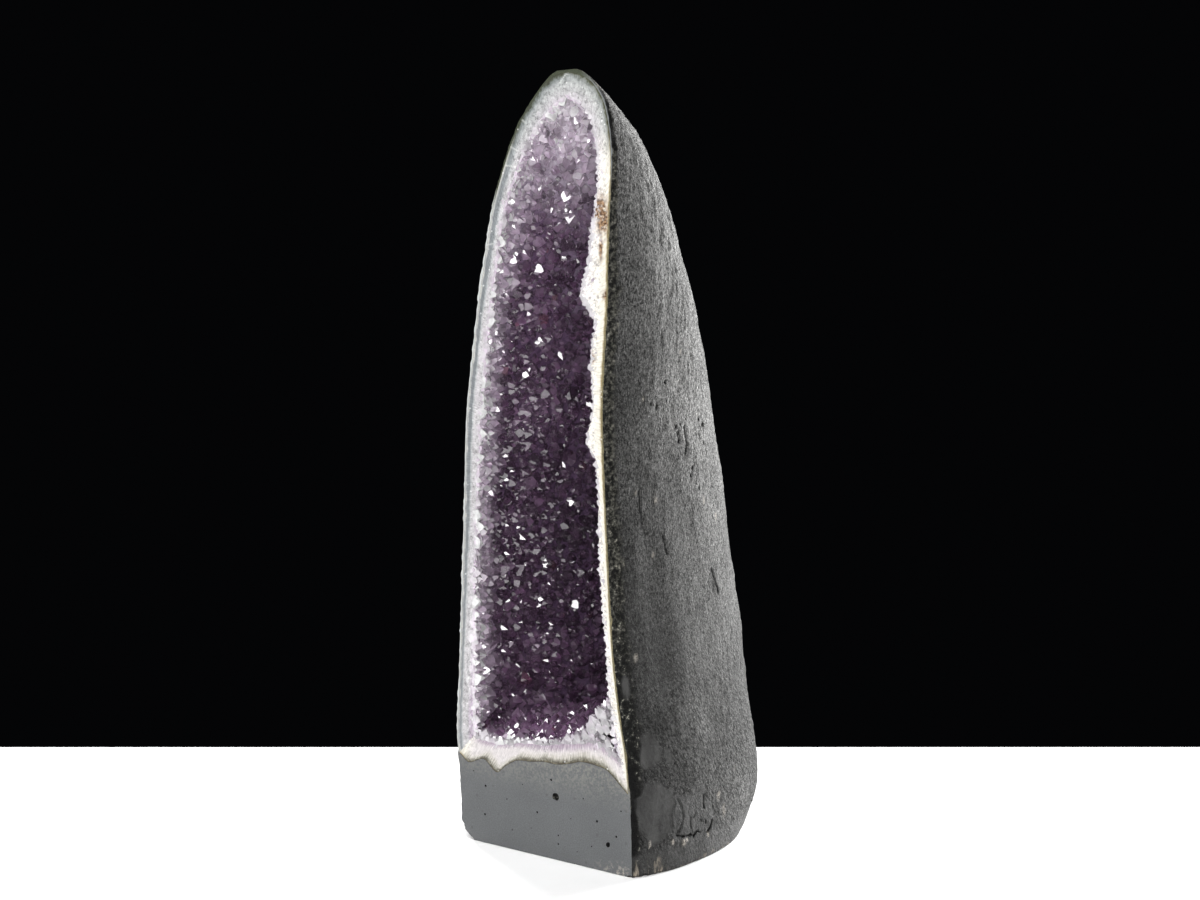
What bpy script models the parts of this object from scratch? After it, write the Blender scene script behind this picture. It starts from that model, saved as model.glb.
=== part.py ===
"""Amethyst cathedral geode: half of a tall stone bubble, sawn flat in front and below.

Two solids make it. basalt_shell is the dark stone with its solid foot, and crystal_crust is
the quartz that lines the hollow, a sawn band in front and hexagonal points inside.
The saw cut in front faces -Y, +Z is up, and the origin is the middle of the flat base.
"""

import math
import random

import bmesh
import bpy
from mathutils import Vector, noise

MM = 0.001

# The stone's outline, in millimetres: height, left and right edge of the front saw cut, and
# the depth from the cut to the back. The tower leans to its right and slopes forward on top.
STONE_PROFILE = (
    (-30, -40, 80, 150),
    (-12, -66, 98, 206),
    (0, -79, 100, 226),
    (10, -90, 100, 241),
    (30, -94, 100, 256),
    (60, -96, 98.5, 258),
    (100, -99, 95, 256),
    (150, -96.5, 86, 257),
    (200, -94, 79.5, 255),
    (300, -89, 73, 237),
    (400, -84.5, 68.5, 213),
    (450, -77.5, 70, 193),
    (500, -70, 73.5, 166),
    (540, -62.5, 74.5, 141),
    (580, -54, 76, 118.5),
    (610, -44, 78, 98),
    (640, -31.5, 77.5, 73),
    (660, -20, 74, 48),
    (675, -8, 69, 27),
    (690, 6, 57, 10),
    (698, 17, 46, 6),
    (702, 30, 33, 1.5),
)
# The hollow inside the crust, measured in the same way, at the feet of its crystals.
HOLLOW_PROFILE = (
    (100, -77, 74, 186),
    (165, -78, 72, 204),
    (200, -78, 71, 206),
    (250, -77, 66, 203),
    (300, -74, 62, 190),
    (350, -71, 60, 178),
    (400, -67, 56, 164),
    (450, -62, 55, 146),
    (500, -55, 57, 121),
    (543, -47, 56, 98),
    (577, -40, 58, 78),
    (600, -31, 61, 64),
    (623, -21, 62, 50),
    (640, -10, 60, 37),
    (657, 3, 54, 23),
    (670, 18, 43, 12),
    (677, 29, 32, 4),
)
# Height of the stone's floor and of the hollow's floor, by place across the saw cut.
STONE_FLOOR = (
    (-110, 79),
    (-80, 81),
    (-68, 77),
    (-54, 70),
    (-41, 81),
    (-11, 90),
    (30, 93),
    (45, 99),
    (70, 97),
    (85, 88),
    (110, 74),
)
HOLLOW_FLOOR = (
    (-100, 107),
    (-77, 106),
    (-52, 103),
    (-30, 110),
    (10, 115),
    (36, 121),
    (57, 140),
    (72, 152),
    (100, 160),
)

FRONT_Y = -129 * MM
# Each level section is a superellipse whose middle lies behind the saw cut, by a share of its
# half depth that falls off towards the top: height in millimetres and share.
SECTION_POWER = 2.3
MIDDLE_SHARES = (
    (500, 0.67),
    (540, 0.66),
    (580, 0.61),
    (610, 0.50),
    (640, 0.36),
    (660, 0.26),
    (675, 0.18),
    (690, 0.10),
    (702, 0.05),
)

# Wall of plain stone: thin where the saw cut shows it, thicker behind.
RIM_WALL = 4.5 * MM
BACK_WALL = 24 * MM
BACK_WALL_SHARE = 0.22
CAVITY_TOP = 694 * MM
# The cavity closes over its last part like a dome, which stops short of a sharp tip.
DOME_SHARE = 0.06
DOME_STOP = 0.93
# Free space between the stone and the crust, so that the two solids never overlap.
CRUST_GAP = 0.4 * MM

# A ledge of massive white quartz that stands out from the right edge of the hollow.
LEDGE_HEIGHT = 506 * MM
LEDGE_REACH = 13 * MM
LEDGE_HALF_SPAN = 17 * MM
LEDGE_FADE = 22 * MM
SECOND_LEDGE_HEIGHT = 381 * MM
SECOND_LEDGE_REACH = 7 * MM

# Crystal points: each is a hexagonal pyramid on a ring of six feet. Its height, its lean and
# the unevenness of its feet are shares of the space between the feet.
CRYSTAL_HEIGHT = 1.25
CRYSTAL_HEIGHT_SPREAD = 0.35
CRYSTAL_LEAN = 0.32
FOOT_SHIFT = 0.16
CORNER_SIZE = 0.7
# Rows of crystals stand closer together towards the top, where the hollow is narrower.
ROW_EASE = 0.2
SEED = 7

# Broad unevenness of the coated outside, which fades where the stone gets thin.
LUMP_SIZE = 75 * MM
LUMP_HEIGHT = 2.2 * MM
LUMP_FADE_DEPTH = 60 * MM

# The nets of the skins: edges along each side of the hexagon in the floor, and rows of wall.
# The stone's rows, in millimetres, lie closer together where its outline bends.
STONE_SIDE = 6
FOOT_ROWS = (-12, 0, 14, 34, 60)
WALL_ROW_COUNT = 22
WALL_ROW_STEP = 24.5
CROWN_ROWS = (619, 638, 655, 671, 684, 694, 700)
CAVITY_SIDE = 5
CAVITY_ROW_COUNT = 14
HOLLOW_SIDE = 12
HOLLOW_ROW_COUNT = 48
# How often a point is placed again so that its height fits the floor under it.
FLOOR_STEPS = 3

# Half width, reach and height of the blocks that stand for the two saw cuts.
SAW_WIDTH = 0.4
SAW_REACH = 0.4
SAW_TOP = 0.9
SAW_BOTTOM = -0.2

# Gas bubbles opened by the saw in the foot: place across, height and radius.
FOOT_PITS = (
    (16 * MM, 58 * MM, 3.9 * MM),
    (-65 * MM, 54 * MM, 1.9 * MM),
    (-66 * MM, 27 * MM, 1.8 * MM),
    (11 * MM, 73 * MM, 1.7 * MM),
    (74 * MM, 25 * MM, 2.8 * MM),
    (-5 * MM, 40 * MM, 1.6 * MM),
)
PIT_SINK_SHARE = 0.2

STONE_COLOR = (0.115, 0.118, 0.122, 1.0)
CRYSTAL_COLOR = (0.20, 0.09, 0.27, 1.0)


def clear_scene():
    for thing in list(bpy.data.objects):
        bpy.data.objects.remove(thing, do_unlink=True)


def make_collection(name):
    collection = bpy.data.collections.new(name)
    bpy.context.scene.collection.children.link(collection)
    return collection


def make_material(name, color, roughness):
    material = bpy.data.materials.new(name)
    material.use_nodes = True
    shader = material.node_tree.nodes["Principled BSDF"]
    shader.inputs["Base Color"].default_value = color
    shader.inputs["Roughness"].default_value = roughness
    shader.inputs["Metallic"].default_value = 0.0
    material.diffuse_color = color
    return material


def smooth_value(points, column, at):
    """The value of one column at a height or place, on a smooth curve through the points."""
    if at <= points[0][0]:
        return points[0][column]
    if at >= points[-1][0]:
        return points[-1][column]
    index = next(i for i in range(1, len(points)) if points[i][0] >= at)
    before, after = points[index - 1], points[index]
    span = after[0] - before[0]
    slopes = []
    for i in (index - 1, index):
        low, high = points[max(i - 1, 0)], points[min(i + 1, len(points) - 1)]
        slopes.append((high[column] - low[column]) / (high[0] - low[0]))
    t = (at - before[0]) / span
    return (
        before[column] * (2 * t**3 - 3 * t**2 + 1)
        + after[column] * (3 * t**2 - 2 * t**3)
        + slopes[0] * span * (t**3 - 2 * t**2 + t)
        + slopes[1] * span * (t**3 - t**2)
    )


def profile_at(profile, z):
    """Left edge, right edge and depth in metres at a height in metres."""
    return [smooth_value(profile, column, z / MM) * MM for column in (1, 2, 3)]


def floor_at(floor, x):
    return smooth_value(floor, 1, x / MM) * MM


def section_point(edges, z, turn, share):
    """A point of the level superellipse whose chord in the saw cut runs from left to right."""
    left, right, depth = edges
    middle_share = smooth_value(MIDDLE_SHARES, 1, z / MM)
    chord_share = (1 - middle_share**SECTION_POWER) ** (1 / SECTION_POWER)
    half_width = (right - left) / 2 / chord_share
    half_depth = depth / (1 + middle_share)
    across, back = math.cos(turn), math.sin(turn)
    power = 2 / SECTION_POWER
    x = math.copysign(abs(across) ** power, across) * half_width
    y = math.copysign(abs(back) ** power, back) * half_depth
    middle = Vector(((left + right) / 2, FRONT_Y + middle_share * half_depth))
    return middle.x + x * share, middle.y + y * share


def cavity_profile_at(z):
    """The hole in the stone, which the crust fills: the stone's own profile less its wall."""
    left, right, depth = profile_at(STONE_PROFILE, z)
    dome = DOME_STOP * max(0.0, 1 - (CAVITY_TOP - z) / (DOME_SHARE * CAVITY_TOP))
    closing = math.sqrt(1 - dome**2)
    half = max((right - left) / 2 - RIM_WALL, 0.0) * closing
    middle = (left + right) / 2
    wall = min(BACK_WALL, BACK_WALL_SHARE * depth)
    return middle - half, middle + half, (depth - wall) * closing


def ledge_at(x, y, z, left, right):
    """How far a ledge of white quartz pushes the hollow's right edge inwards."""
    rightward = max(0.0, min(1.0, (2 * x - left - right) / (right - left))) ** 2
    near_cut = math.exp(-max(y - FRONT_Y, 0.0) / LEDGE_FADE)
    first = math.exp(-(((z - LEDGE_HEIGHT) / LEDGE_HALF_SPAN) ** 2)) * LEDGE_REACH
    second = math.exp(-(((z - SECOND_LEDGE_HEIGHT) / LEDGE_HALF_SPAN) ** 2))
    return rightward * near_cut * (first + second * SECOND_LEDGE_REACH)


def make_tower(side, rows, place):
    """A closed net of even triangles: a hexagon for the floor and rings of wall above it.

    place turns a spot of the net into a point. Its arguments are the share of the way from
    the floor's middle to the wall, the turn in radians and the row of the wall, from 0.
    Returns the net, and the spot (ring, column, row) of each vertex.
    """
    bm = bmesh.new()
    bmesh.ops.create_circle(bm, segments=6, radius=side, cap_ends=True, cap_tris=True)
    bmesh.ops.subdivide_edges(bm, edges=bm.edges, cuts=side - 1, use_grid_fill=True)
    rim = [edge for edge in bm.edges if edge.is_boundary]
    for _ in range(rows):
        made = bmesh.ops.extrude_edge_only(bm, edges=rim)["geom"]
        risen = {part for part in made if isinstance(part, bmesh.types.BMVert)}
        bmesh.ops.translate(bm, verts=list(risen), vec=(0, 0, 1))
        rim = [
            part
            for part in made
            if isinstance(part, bmesh.types.BMEdge) and risen.issuperset(part.verts)
        ]
    bmesh.ops.contextual_create(bm, geom=rim)
    spot_of = {vertex: spot_in_hexagon(vertex.co) for vertex in bm.verts}
    split_quads(bm, spot_of, side * 6)
    for vertex, (ring, column, row) in spot_of.items():
        turn = math.tau * (column / max(ring * 6, 1) + row / (side * 12))
        vertex.co = place(ring / side, turn, row)
    bmesh.ops.recalc_face_normals(bm, faces=bm.faces)
    return bm, spot_of


def spot_in_hexagon(point):
    """(ring from the middle, column around that ring, row above the floor) of a net point."""
    sixth = math.tau / 6
    corner, rest = divmod(math.atan2(-point.x, point.y) % math.tau, sixth)
    reach = point.xy.length / math.sin(sixth)
    along = reach * math.sin(rest)
    ring = round(along + reach * math.sin(sixth - rest))
    return ring, round(corner * ring + along) % max(ring * 6, 1), round(point.z)


def split_quads(bm, spot_of, segments):
    """Cuts each square of the wall the same way, which makes an even triangular net."""
    for face in [face for face in bm.faces if len(face.verts) == 4]:
        low_row = min(spot_of[vertex][2] for vertex in face.verts)
        low = [vertex for vertex in face.verts if spot_of[vertex][2] == low_row]
        high = [vertex for vertex in face.verts if spot_of[vertex][2] > low_row]
        low_is_turned = (spot_of[low[0]][1] - spot_of[low[1]][1]) % segments == 1
        high_is_turned = (spot_of[high[0]][1] - spot_of[high[1]][1]) % segments == 1
        last_low = low[0] if low_is_turned else low[1]
        first_high = high[1] if high_is_turned else high[0]
        bmesh.utils.face_split(face, last_low, first_high)


def finish_mesh(name, bm):
    mesh = bpy.data.meshes.new(name)
    bm.to_mesh(mesh)
    bm.free()
    return bpy.data.objects.new(name, mesh)


def make_stone(collection, material):
    wall = [FOOT_ROWS[-1] + WALL_ROW_STEP * row for row in range(1, WALL_ROW_COUNT + 1)]
    heights = [z * MM for z in (*FOOT_ROWS, *wall, *CROWN_ROWS)]

    def place(share, turn, row):
        z = heights[row]
        edges = profile_at(STONE_PROFILE, z)
        x, y = section_point(edges, z, turn, share)
        out = Vector((math.cos(turn), math.sin(turn), 0.0))
        unevenness = noise.noise(Vector((x, y, z)) / LUMP_SIZE) * LUMP_HEIGHT
        fading = min(1.0, edges[2] / LUMP_FADE_DEPTH)
        return Vector((x, y, z)) + out * unevenness * fading * share

    stone = finish_mesh("basalt_shell", make_tower(STONE_SIDE, len(heights) - 1, place)[0])
    stone.data.materials.append(material)
    collection.objects.link(stone)
    return stone


def make_cavity(name, gap):
    """The hole in the stone. With a gap it is the outside of the crust, that much smaller."""
    bottom, top = STONE_FLOOR[0][1] * MM, CAVITY_TOP

    def place(share, turn, row):
        nominal = bottom + (top - bottom) * row / CAVITY_ROW_COUNT
        z = nominal
        for _ in range(FLOOR_STEPS):
            x, y = section_point(cavity_profile_at(z), z, turn, share)
            floor = floor_at(STONE_FLOOR, x)
            z = floor + (nominal - bottom) * (top - floor) / (top - bottom)
        return Vector((x, y, z))

    bm = make_tower(CAVITY_SIDE, CAVITY_ROW_COUNT, place)[0]
    bm.normal_update()
    inset = [(vertex, vertex.normal * gap) for vertex in bm.verts]
    for vertex, move in inset:
        vertex.co -= move
    return finish_mesh(name, bm)


def make_hollow(name):
    """The open space inside the crust. Every third point of its net is a crystal's tip."""
    bottom, top = HOLLOW_FLOOR[0][1] * MM, HOLLOW_PROFILE[-1][0] * MM

    def place(share, turn, row):
        risen = row / HOLLOW_ROW_COUNT
        risen += ROW_EASE * math.sin(math.pi * risen) / math.pi
        nominal = bottom + (top - bottom) * risen
        z = nominal
        for _ in range(FLOOR_STEPS):
            edges = profile_at(HOLLOW_PROFILE, z)
            x, y = section_point(edges, z, turn, share)
            x -= ledge_at(x, y, z, edges[0], edges[1])
            floor = floor_at(HOLLOW_FLOOR, x)
            z = floor + (nominal - bottom) * (top - floor) / (top - bottom)
        return Vector((x, y, z))

    bm, spot_of = make_tower(HOLLOW_SIDE, HOLLOW_ROW_COUNT, place)
    raise_crystals(bm, spot_of)
    return finish_mesh(name, bm)


def raise_crystals(bm, spot_of):
    """Pushes every third point of the net into the hollow, as the tip of a six-sided point."""
    chance = random.Random(SEED)
    bm.normal_update()
    moves = []
    for vertex, (ring, column, row) in sorted(spot_of.items(), key=lambda item: item[1]):
        shift = Vector([chance.uniform(-1, 1) for _ in range(3)])
        height = CRYSTAL_HEIGHT * (1 + CRYSTAL_HEIGHT_SPREAD * chance.uniform(-1, 1))
        size = min(edge.calc_length() for edge in vertex.link_edges)
        if abs(ring + row - HOLLOW_SIDE) <= 1:
            size *= CORNER_SIZE
        if row > HOLLOW_ROW_COUNT - 2 or vertex.co.y < FRONT_Y:
            size = 0.0
        if is_tip(ring, column, row):
            moves.append((vertex, (shift * CRYSTAL_LEAN - vertex.normal * height) * size))
        else:
            moves.append((vertex, shift * FOOT_SHIFT * size))
    for vertex, move in moves:
        vertex.co += move


def is_tip(ring, column, row):
    """Whether a net point is one of the even third of them that never touch each other."""
    if row:
        return (column - row) % 3 == 0
    return (ring + column % max(ring, 1)) % 3 == 0


def make_block(name, low, high):
    bm = bmesh.new()
    bmesh.ops.create_cube(bm, size=1.0)
    low, high = Vector(low), Vector(high)
    for vertex in bm.verts:
        vertex.co = low + (vertex.co + Vector((0.5, 0.5, 0.5))) * (high - low)
    return finish_mesh(name, bm)


def make_pit(name, x, z, radius):
    bm = bmesh.new()
    bmesh.ops.create_icosphere(bm, subdivisions=1, radius=radius)
    bmesh.ops.translate(bm, verts=bm.verts, vec=(x, FRONT_Y + radius * PIT_SINK_SHARE, z))
    return finish_mesh(name, bm)


def add_cutter(collection, cutter):
    collection.objects.link(cutter)
    cutter.hide_render = True
    cutter.display_type = "WIRE"
    return cutter


def cut(target, cutter):
    modifier = target.modifiers.new("cut_" + cutter.name, "BOOLEAN")
    modifier.operation = "DIFFERENCE"
    modifier.solver = "EXACT"
    modifier.object = cutter


def main():
    clear_scene()
    parts = make_collection("amethyst_cathedral_geode")
    cutters = make_collection("saw_cuts_and_hollows")
    stone_material = make_material("basalt", STONE_COLOR, 0.8)
    crystal_material = make_material("amethyst", CRYSTAL_COLOR, 0.2)

    front_low = (-SAW_WIDTH, FRONT_Y - SAW_REACH, SAW_BOTTOM)
    front_saw = add_cutter(
        cutters, make_block("front_saw", front_low, (SAW_WIDTH, FRONT_Y, SAW_TOP))
    )
    base_low = (-SAW_WIDTH, FRONT_Y - SAW_REACH, SAW_BOTTOM)
    base_saw = add_cutter(
        cutters, make_block("base_saw", base_low, (SAW_WIDTH, -base_low[1], 0.0))
    )
    cavity = add_cutter(cutters, make_cavity("cavity", 0.0))
    hollow = add_cutter(cutters, make_hollow("hollow"))

    stone = make_stone(parts, stone_material)
    cut(stone, base_saw)
    cut(stone, front_saw)
    cut(stone, cavity)
    for number, (x, z, radius) in enumerate(FOOT_PITS, 1):
        cut(stone, add_cutter(cutters, make_pit(f"pit_{number}", x, z, radius)))

    crust = make_cavity("crystal_crust", CRUST_GAP)
    crust.data.materials.append(crystal_material)
    parts.objects.link(crust)
    cut(crust, front_saw)
    cut(crust, hollow)


main()
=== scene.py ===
"""Looks of an amethyst cathedral geode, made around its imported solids.

The pieces are the stone with its coat and sawn foot, the body of the quartz crust, the sawn
band of agate and quartz around the hollow, and the crystal points that line it. The tables
of shapes and marks are in millimetres. Sizes are in metres where nothing else is said.
"""

import itertools
import math

import bmesh
import bpy
import numpy as np
from bpy.props import FloatProperty, FloatVectorProperty, IntProperty, PointerProperty
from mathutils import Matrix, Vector


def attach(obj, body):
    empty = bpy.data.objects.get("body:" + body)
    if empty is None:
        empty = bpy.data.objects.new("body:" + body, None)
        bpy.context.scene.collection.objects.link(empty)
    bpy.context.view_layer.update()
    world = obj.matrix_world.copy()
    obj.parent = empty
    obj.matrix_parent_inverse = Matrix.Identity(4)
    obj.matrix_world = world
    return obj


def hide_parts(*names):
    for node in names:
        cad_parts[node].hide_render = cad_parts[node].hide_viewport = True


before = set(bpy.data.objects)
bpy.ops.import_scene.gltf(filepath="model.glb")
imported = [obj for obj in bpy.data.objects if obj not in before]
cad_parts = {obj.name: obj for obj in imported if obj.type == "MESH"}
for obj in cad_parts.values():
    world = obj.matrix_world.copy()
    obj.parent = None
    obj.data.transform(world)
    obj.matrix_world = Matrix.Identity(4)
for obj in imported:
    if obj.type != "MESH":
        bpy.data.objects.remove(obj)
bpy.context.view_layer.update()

bl_info = {
    "name": "Amethyst cathedral geode",
    "version": (1, 0, 0),
    "blender": (4, 5, 0),
    "location": "View3D > Sidebar > Geode",
    "description": "Builds the stone, the quartz crust and the crystals of a cathedral geode",
    "category": "Add Mesh",
}

MM = 0.001
BODY = "root"
STONE_NODE, STONE_SLOT = "basalt_shell", "basalt"
CRUST_NODE, CRUST_SLOT = "crystal_crust", "amethyst"

# The stone's outline, as in the solids: height, left and right edge of the front saw cut, and
# the depth from the cut to the back.
STONE_PROFILE = (
    (-30, -40, 80, 150), (-12, -66, 98, 206), (0, -79, 100, 226), (10, -90, 100, 241),
    (30, -94, 100, 256), (60, -96, 98.5, 258), (100, -99, 95, 256), (150, -96.5, 86, 257),
    (200, -94, 79.5, 255), (300, -89, 73, 237), (400, -84.5, 68.5, 213), (450, -77.5, 70, 193),
    (500, -70, 73.5, 166), (540, -62.5, 74.5, 141), (580, -54, 76, 118.5), (610, -44, 78, 98),
    (640, -31.5, 77.5, 73), (660, -20, 74, 48), (675, -8, 69, 27), (690, 6, 57, 10),
    (698, 17, 46, 5), (702, 30, 33, 1.5),
)
# The hollow inside the crust, at the feet of its crystals.
HOLLOW_PROFILE = (
    (100, -77, 77, 186), (165, -78, 75, 204), (200, -78, 73, 206), (250, -77, 68, 203),
    (300, -74, 65, 190), (350, -71, 63, 178), (400, -67, 60, 164), (450, -62, 59, 146),
    (500, -55, 60, 121), (543, -47, 59, 98), (577, -40, 61, 78), (600, -31, 64, 64),
    (623, -21, 64, 50), (640, -10, 61, 37), (657, 3, 55, 23), (670, 18, 43, 12), (677, 29, 32, 4),
)
# Heights of the line between stone and crust, and of the crust's floor, across the cut.
STONE_FLOOR = (
    (-110, 81), (-96, 80), (-85, 73), (-67, 79), (-52, 69), (-41, 77), (-28, 84), (-13, 85.5),
    (3, 88), (17, 88), (33, 91.5), (45, 95), (65, 94), (73, 92), (80, 87), (90, 78.5), (99, 72),
    (110, 67),
)
HOLLOW_FLOOR = (
    (-100, 104), (-77, 101), (-52, 98), (-30, 102.5), (10, 106.5), (36, 112), (57, 116),
    (72, 113), (86, 104), (100, 98),
)
# Inner edge of the band on the right, as seen: place across and height.
RIGHT_EDGE = (
    (88, 96), (84, 115), (81, 128), (78, 140), (75.5, 151), (73, 165), (71, 200), (67, 235),
    (64, 270), (63, 305), (62, 349), (59, 368), (50, 379), (54, 401), (58, 418), (54, 446),
    (56, 470), (61, 484), (44, 504), (43, 508), (48, 525), (53, 543), (54, 560), (58, 577),
    (61, 598), (62, 623), (60, 640), (55, 657), (44, 670), (31, 676),
)

FRONT_Y = -129 * MM
# Level sections are superellipses whose middle lies behind the saw cut, by a share of their
# half depth that falls off towards the top: height and share.
SECTION_POWER = 2.3
MIDDLE_SHARES = (
    (500, 0.67), (540, 0.66), (580, 0.61), (610, 0.50), (640, 0.36), (660, 0.26), (675, 0.18),
    (690, 0.10), (702, 0.05),
)
STONE_TOP = 700 * MM
STONE_START = -12 * MM

# The wall of plain stone around the crust, and how the cavity in it closes on top.
RIM_WALL = 1.7 * MM
BACK_WALL = 24 * MM
BACK_WALL_SHARE = 0.22
CAVITY_TOP = 698 * MM
DOME_SPAN = 10 * MM
CRUST_GAP = 0.15 * MM
CRUST_BODY_GAP = 1.1 * MM
BAND_THICKNESS = 2.4 * MM
CRUST_BODY_TOP = 686 * MM
# Behind the cut the stone's side wall and the crust grow by this much.
SIDE_THICKENING = 5 * MM

LEDGES = ((506 * MM, 13 * MM), (381 * MM, 7 * MM))
LEDGE_HALF_SPAN = 17 * MM
LEDGE_FADE = 22 * MM
LUMP_SIZE = 75 * MM
LUMP_HEIGHT = 2.2 * MM

# Columns and rings of each form.
STONE_GRID = 296, 262
CUTTER_GRID = 120, 124
CRUST_BODY_GRID = 120, 120
HOLLOW_GRID = 200, 200
# Shares of the rings that lie on the floor of each form, the others going up its wall.
STONE_FLOOR_SHARE = 0.02
CAVITY_FLOOR_SHARE = 0.42
HOLLOW_FLOOR_SHARE = 0.28
# Shares of the stone's columns and where they stand, in degrees from the back, right side
# first: few before the saw cut and most of them on the right, where the coat is seen.
STONE_COLUMNS = (0.0, 0.014, 0.4, 0.986, 1.0), (-180.0, -133.0, -38.0, 133.0, 180.0)
# The cavity's columns, most of them before the saw cut, where its floor line is seen.
CUTTER_COLUMNS = (0.0, 0.3, 0.7, 1.0), (-180.0, -125.0, 125.0, 180.0)

# Gas bubbles opened by the saw: place across, height and radius.
FOOT_PITS = (
    (16, 58, 4.4), (-65, 54, 1.2), (-66, 27, 1.1), (-22, 63, 0.6), (-5, 40, 1.0), (11, 73, 1.1),
    (74, 25, 2.7), (19, 23, 0.8), (19, 15, 0.9), (62, 44, 1.2), (83, 34, 1.0), (-40, 46, 0.6),
    (-34, 18, 0.7), (47, 62, 0.6), (-79, 66, 0.6), (40, 12, 0.6), (56, 20, 0.7), (88, 58, 0.7),
    (-12, 24, 0.5), (33, 41, 0.5),
)

# Lines on the right side, as places behind the cut and heights, each with its half width and
# depth. DRIP_LINES are the lines of the drip marks.
CREASES = (
    (((34, 336), (34, 318), (36, 306), (40, 298)), 1.0, 1.6),
    (((61, 294), (62, 286), (64, 278)), 1.2, 1.8),
    (((133, 254), (138, 243), (144, 232)), 1.2, 1.6),
    (((97, 388), (99, 374), (98, 364)), 1.0, 1.4),
    (((48, 62), (53, 54), (54, 44), (52, 39)), 0.7, 1.2),
    (((52, 39), (45, 31)), 1.1, 1.6),
    (((82, 58), (82, 48)), 1.0, 1.6),
    (((63, 42), (62, 36), (63, 32)), 0.8, 1.4),
    (((70, 45), (67, 41)), 0.5, 0.8),
    (((92, 33), (90, 27), (85, 24)), 1.3, 1.8),
    (((45, 30), (53, 27), (61, 27), (66, 25), (71, 27), (75, 26)), 0.7, 1.2),
    (((52, 27), (53, 27)), 1.2, 1.4),
    (((60, 26), (61, 27)), 1.2, 1.4),
    (((66, 24), (67, 27)), 1.2, 1.4),
    (((71, 27), (72, 27)), 1.1, 1.4),
    (((76, 37), (77, 36)), 0.9, 1.0),
    (((83, 35), (83, 33)), 0.9, 1.0),
    (((1.5, 681), (1.0, 668), (2.4, 655), (1.6, 646), (3.4, 632)), 1.8, 1.2),
    (((2, 96), (4, 78), (2, 43), (1, 22)), 2.6, 1.6),
)
DRIP_LINES = slice(4, 17)
# Pits there: place behind the cut, height and half width.
PITS = (
    (84, 389, 1.4), (86, 382, 1.1), (91, 391, 1.2), (88, 376, 1.3), (110, 350, 1.4),
    (107, 343, 1.2), (128, 351, 1.2), (134, 370, 1.2), (133, 386, 1.1), (125, 392, 1.1),
    (50, 412, 1.3), (58, 409, 1.0), (47, 366, 1.1), (70, 430, 1.1), (120, 330, 1.0),
)
PIT_DEPTH = 1.7
# Outlines of the rubbed smooth patches there, and of the patch with the drip marks.
SMOOTH_PATCHES = (
    ((15, 124), (11, 97), (24, 92), (33, 107), (29, 124)),
    ((18, 82), (4, 69), (7, 42), (16, 23), (40, 34), (45, 71)),
    ((36, 108), (35, 96), (44, 92), (47, 105)),
)
DRIP_PATCH = ((44, 66), (40, 30), (60, 17), (94, 19), (97, 42), (86, 64))
# A shallow socket beside the cut: place behind it, height, and half its width and height.
SOCKET = (9, 167, 4.5, 10.5)
# White flecks: place behind the cut and height.
WHITE_FLECKS = (
    (136, 69), (104, 53), (110, 40), (112, 34), (16, 27), (40, 25), (127, 318), (54, 327),
    (29, 336), (40, 417), (48, 279), (53, 22), (57, 23), (86, 21), (20, 192), (150, 300),
    (92, 455),
)
# Brown stains on the band: place across, height, and half their width and height.
STAINS = (
    (65, 581, 8, 10), (68, 572, 6, 11), (57, 454, 2.5, 3.5), (70, 509, 3, 3), (66, 548, 2, 9),
)
# Healed cracks across the left side of the band, as places across and heights.
CRACKS = (
    ((-44, 620), (-34, 619), (-22, 617.5)), ((-35, 637), (-24, 632)), ((-22, 661), (-14, 655)),
    ((22, 688), (29, 696)), ((-62, 549), (-52, 551)),
)

# How far inside the stone's skin the hidden roots of the points stay.
ROOT_MARGIN = 2.2 * MM
# Angle between the axis of a quartz point and the normals of its six faces.
FACE_SLOPE = math.radians(51.8)
# Places tried, tilt, radius as a share of the spacing, and how deep the feet sink as a share
# of the radius.
LARGE_POINTS = (26000, 0.17, 0.62, 0.25)
SMALL_POINTS = (52000, 0.28, 0.62, 0.1)
# Pale points in the lower right corner.
CORNER_POINTS = 220

CAMERA_PLACE = (1.073, -1.5135, 0.5893)
CAMERA_TURN = math.radians(36.05)
CAMERA_DIP = math.radians(7.125)
# Name, place, point lit, width and height of the lamp, and power in watts.
LIGHTS = (
    ("key", (-0.75, -1.5, 1.25), (0, -0.1, 0.35), (0.42, 0.42), 4.6),
    ("front_left", (0.3, -1.95, 0.75), (0, -0.1, 0.35), (0.36, 0.36), 3.8),
    ("front_high", (0.35, -1.5, 1.7), (0, -0.1, 0.4), (0.34, 0.34), 3.0),
    ("front_right", (1.25, -1.3, 1.0), (0, -0.1, 0.35), (0.62, 0.62), 12.5),
    ("far_left", (-1.3, -0.9, 0.6), (0, -0.1, 0.35), (0.28, 0.45), 2.6),
    ("right_rim", (0.35, 2.05, 0.875), (0.05, 0, 0.35), (1.0, 1.2), 165),
    ("left_rim", (-1.4, 0.6, 0.9), (0, -0.1, 0.4), (0.3, 1.1), 26),
    ("overhead", (-0.1, -0.65, 1.9), (0.1, -0.3, 0), (0.9, 0.9), 28),
)


def color_setting(name, description, color):
    return FloatVectorProperty(
        name=name, description=description, subtype="COLOR", size=4, min=0, max=1,
        default=(*color, 1),
    )


def length_setting(name, description, length, low, high):
    return FloatProperty(
        name=name, description=description, unit="LENGTH", default=length, min=low, max=high
    )


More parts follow.
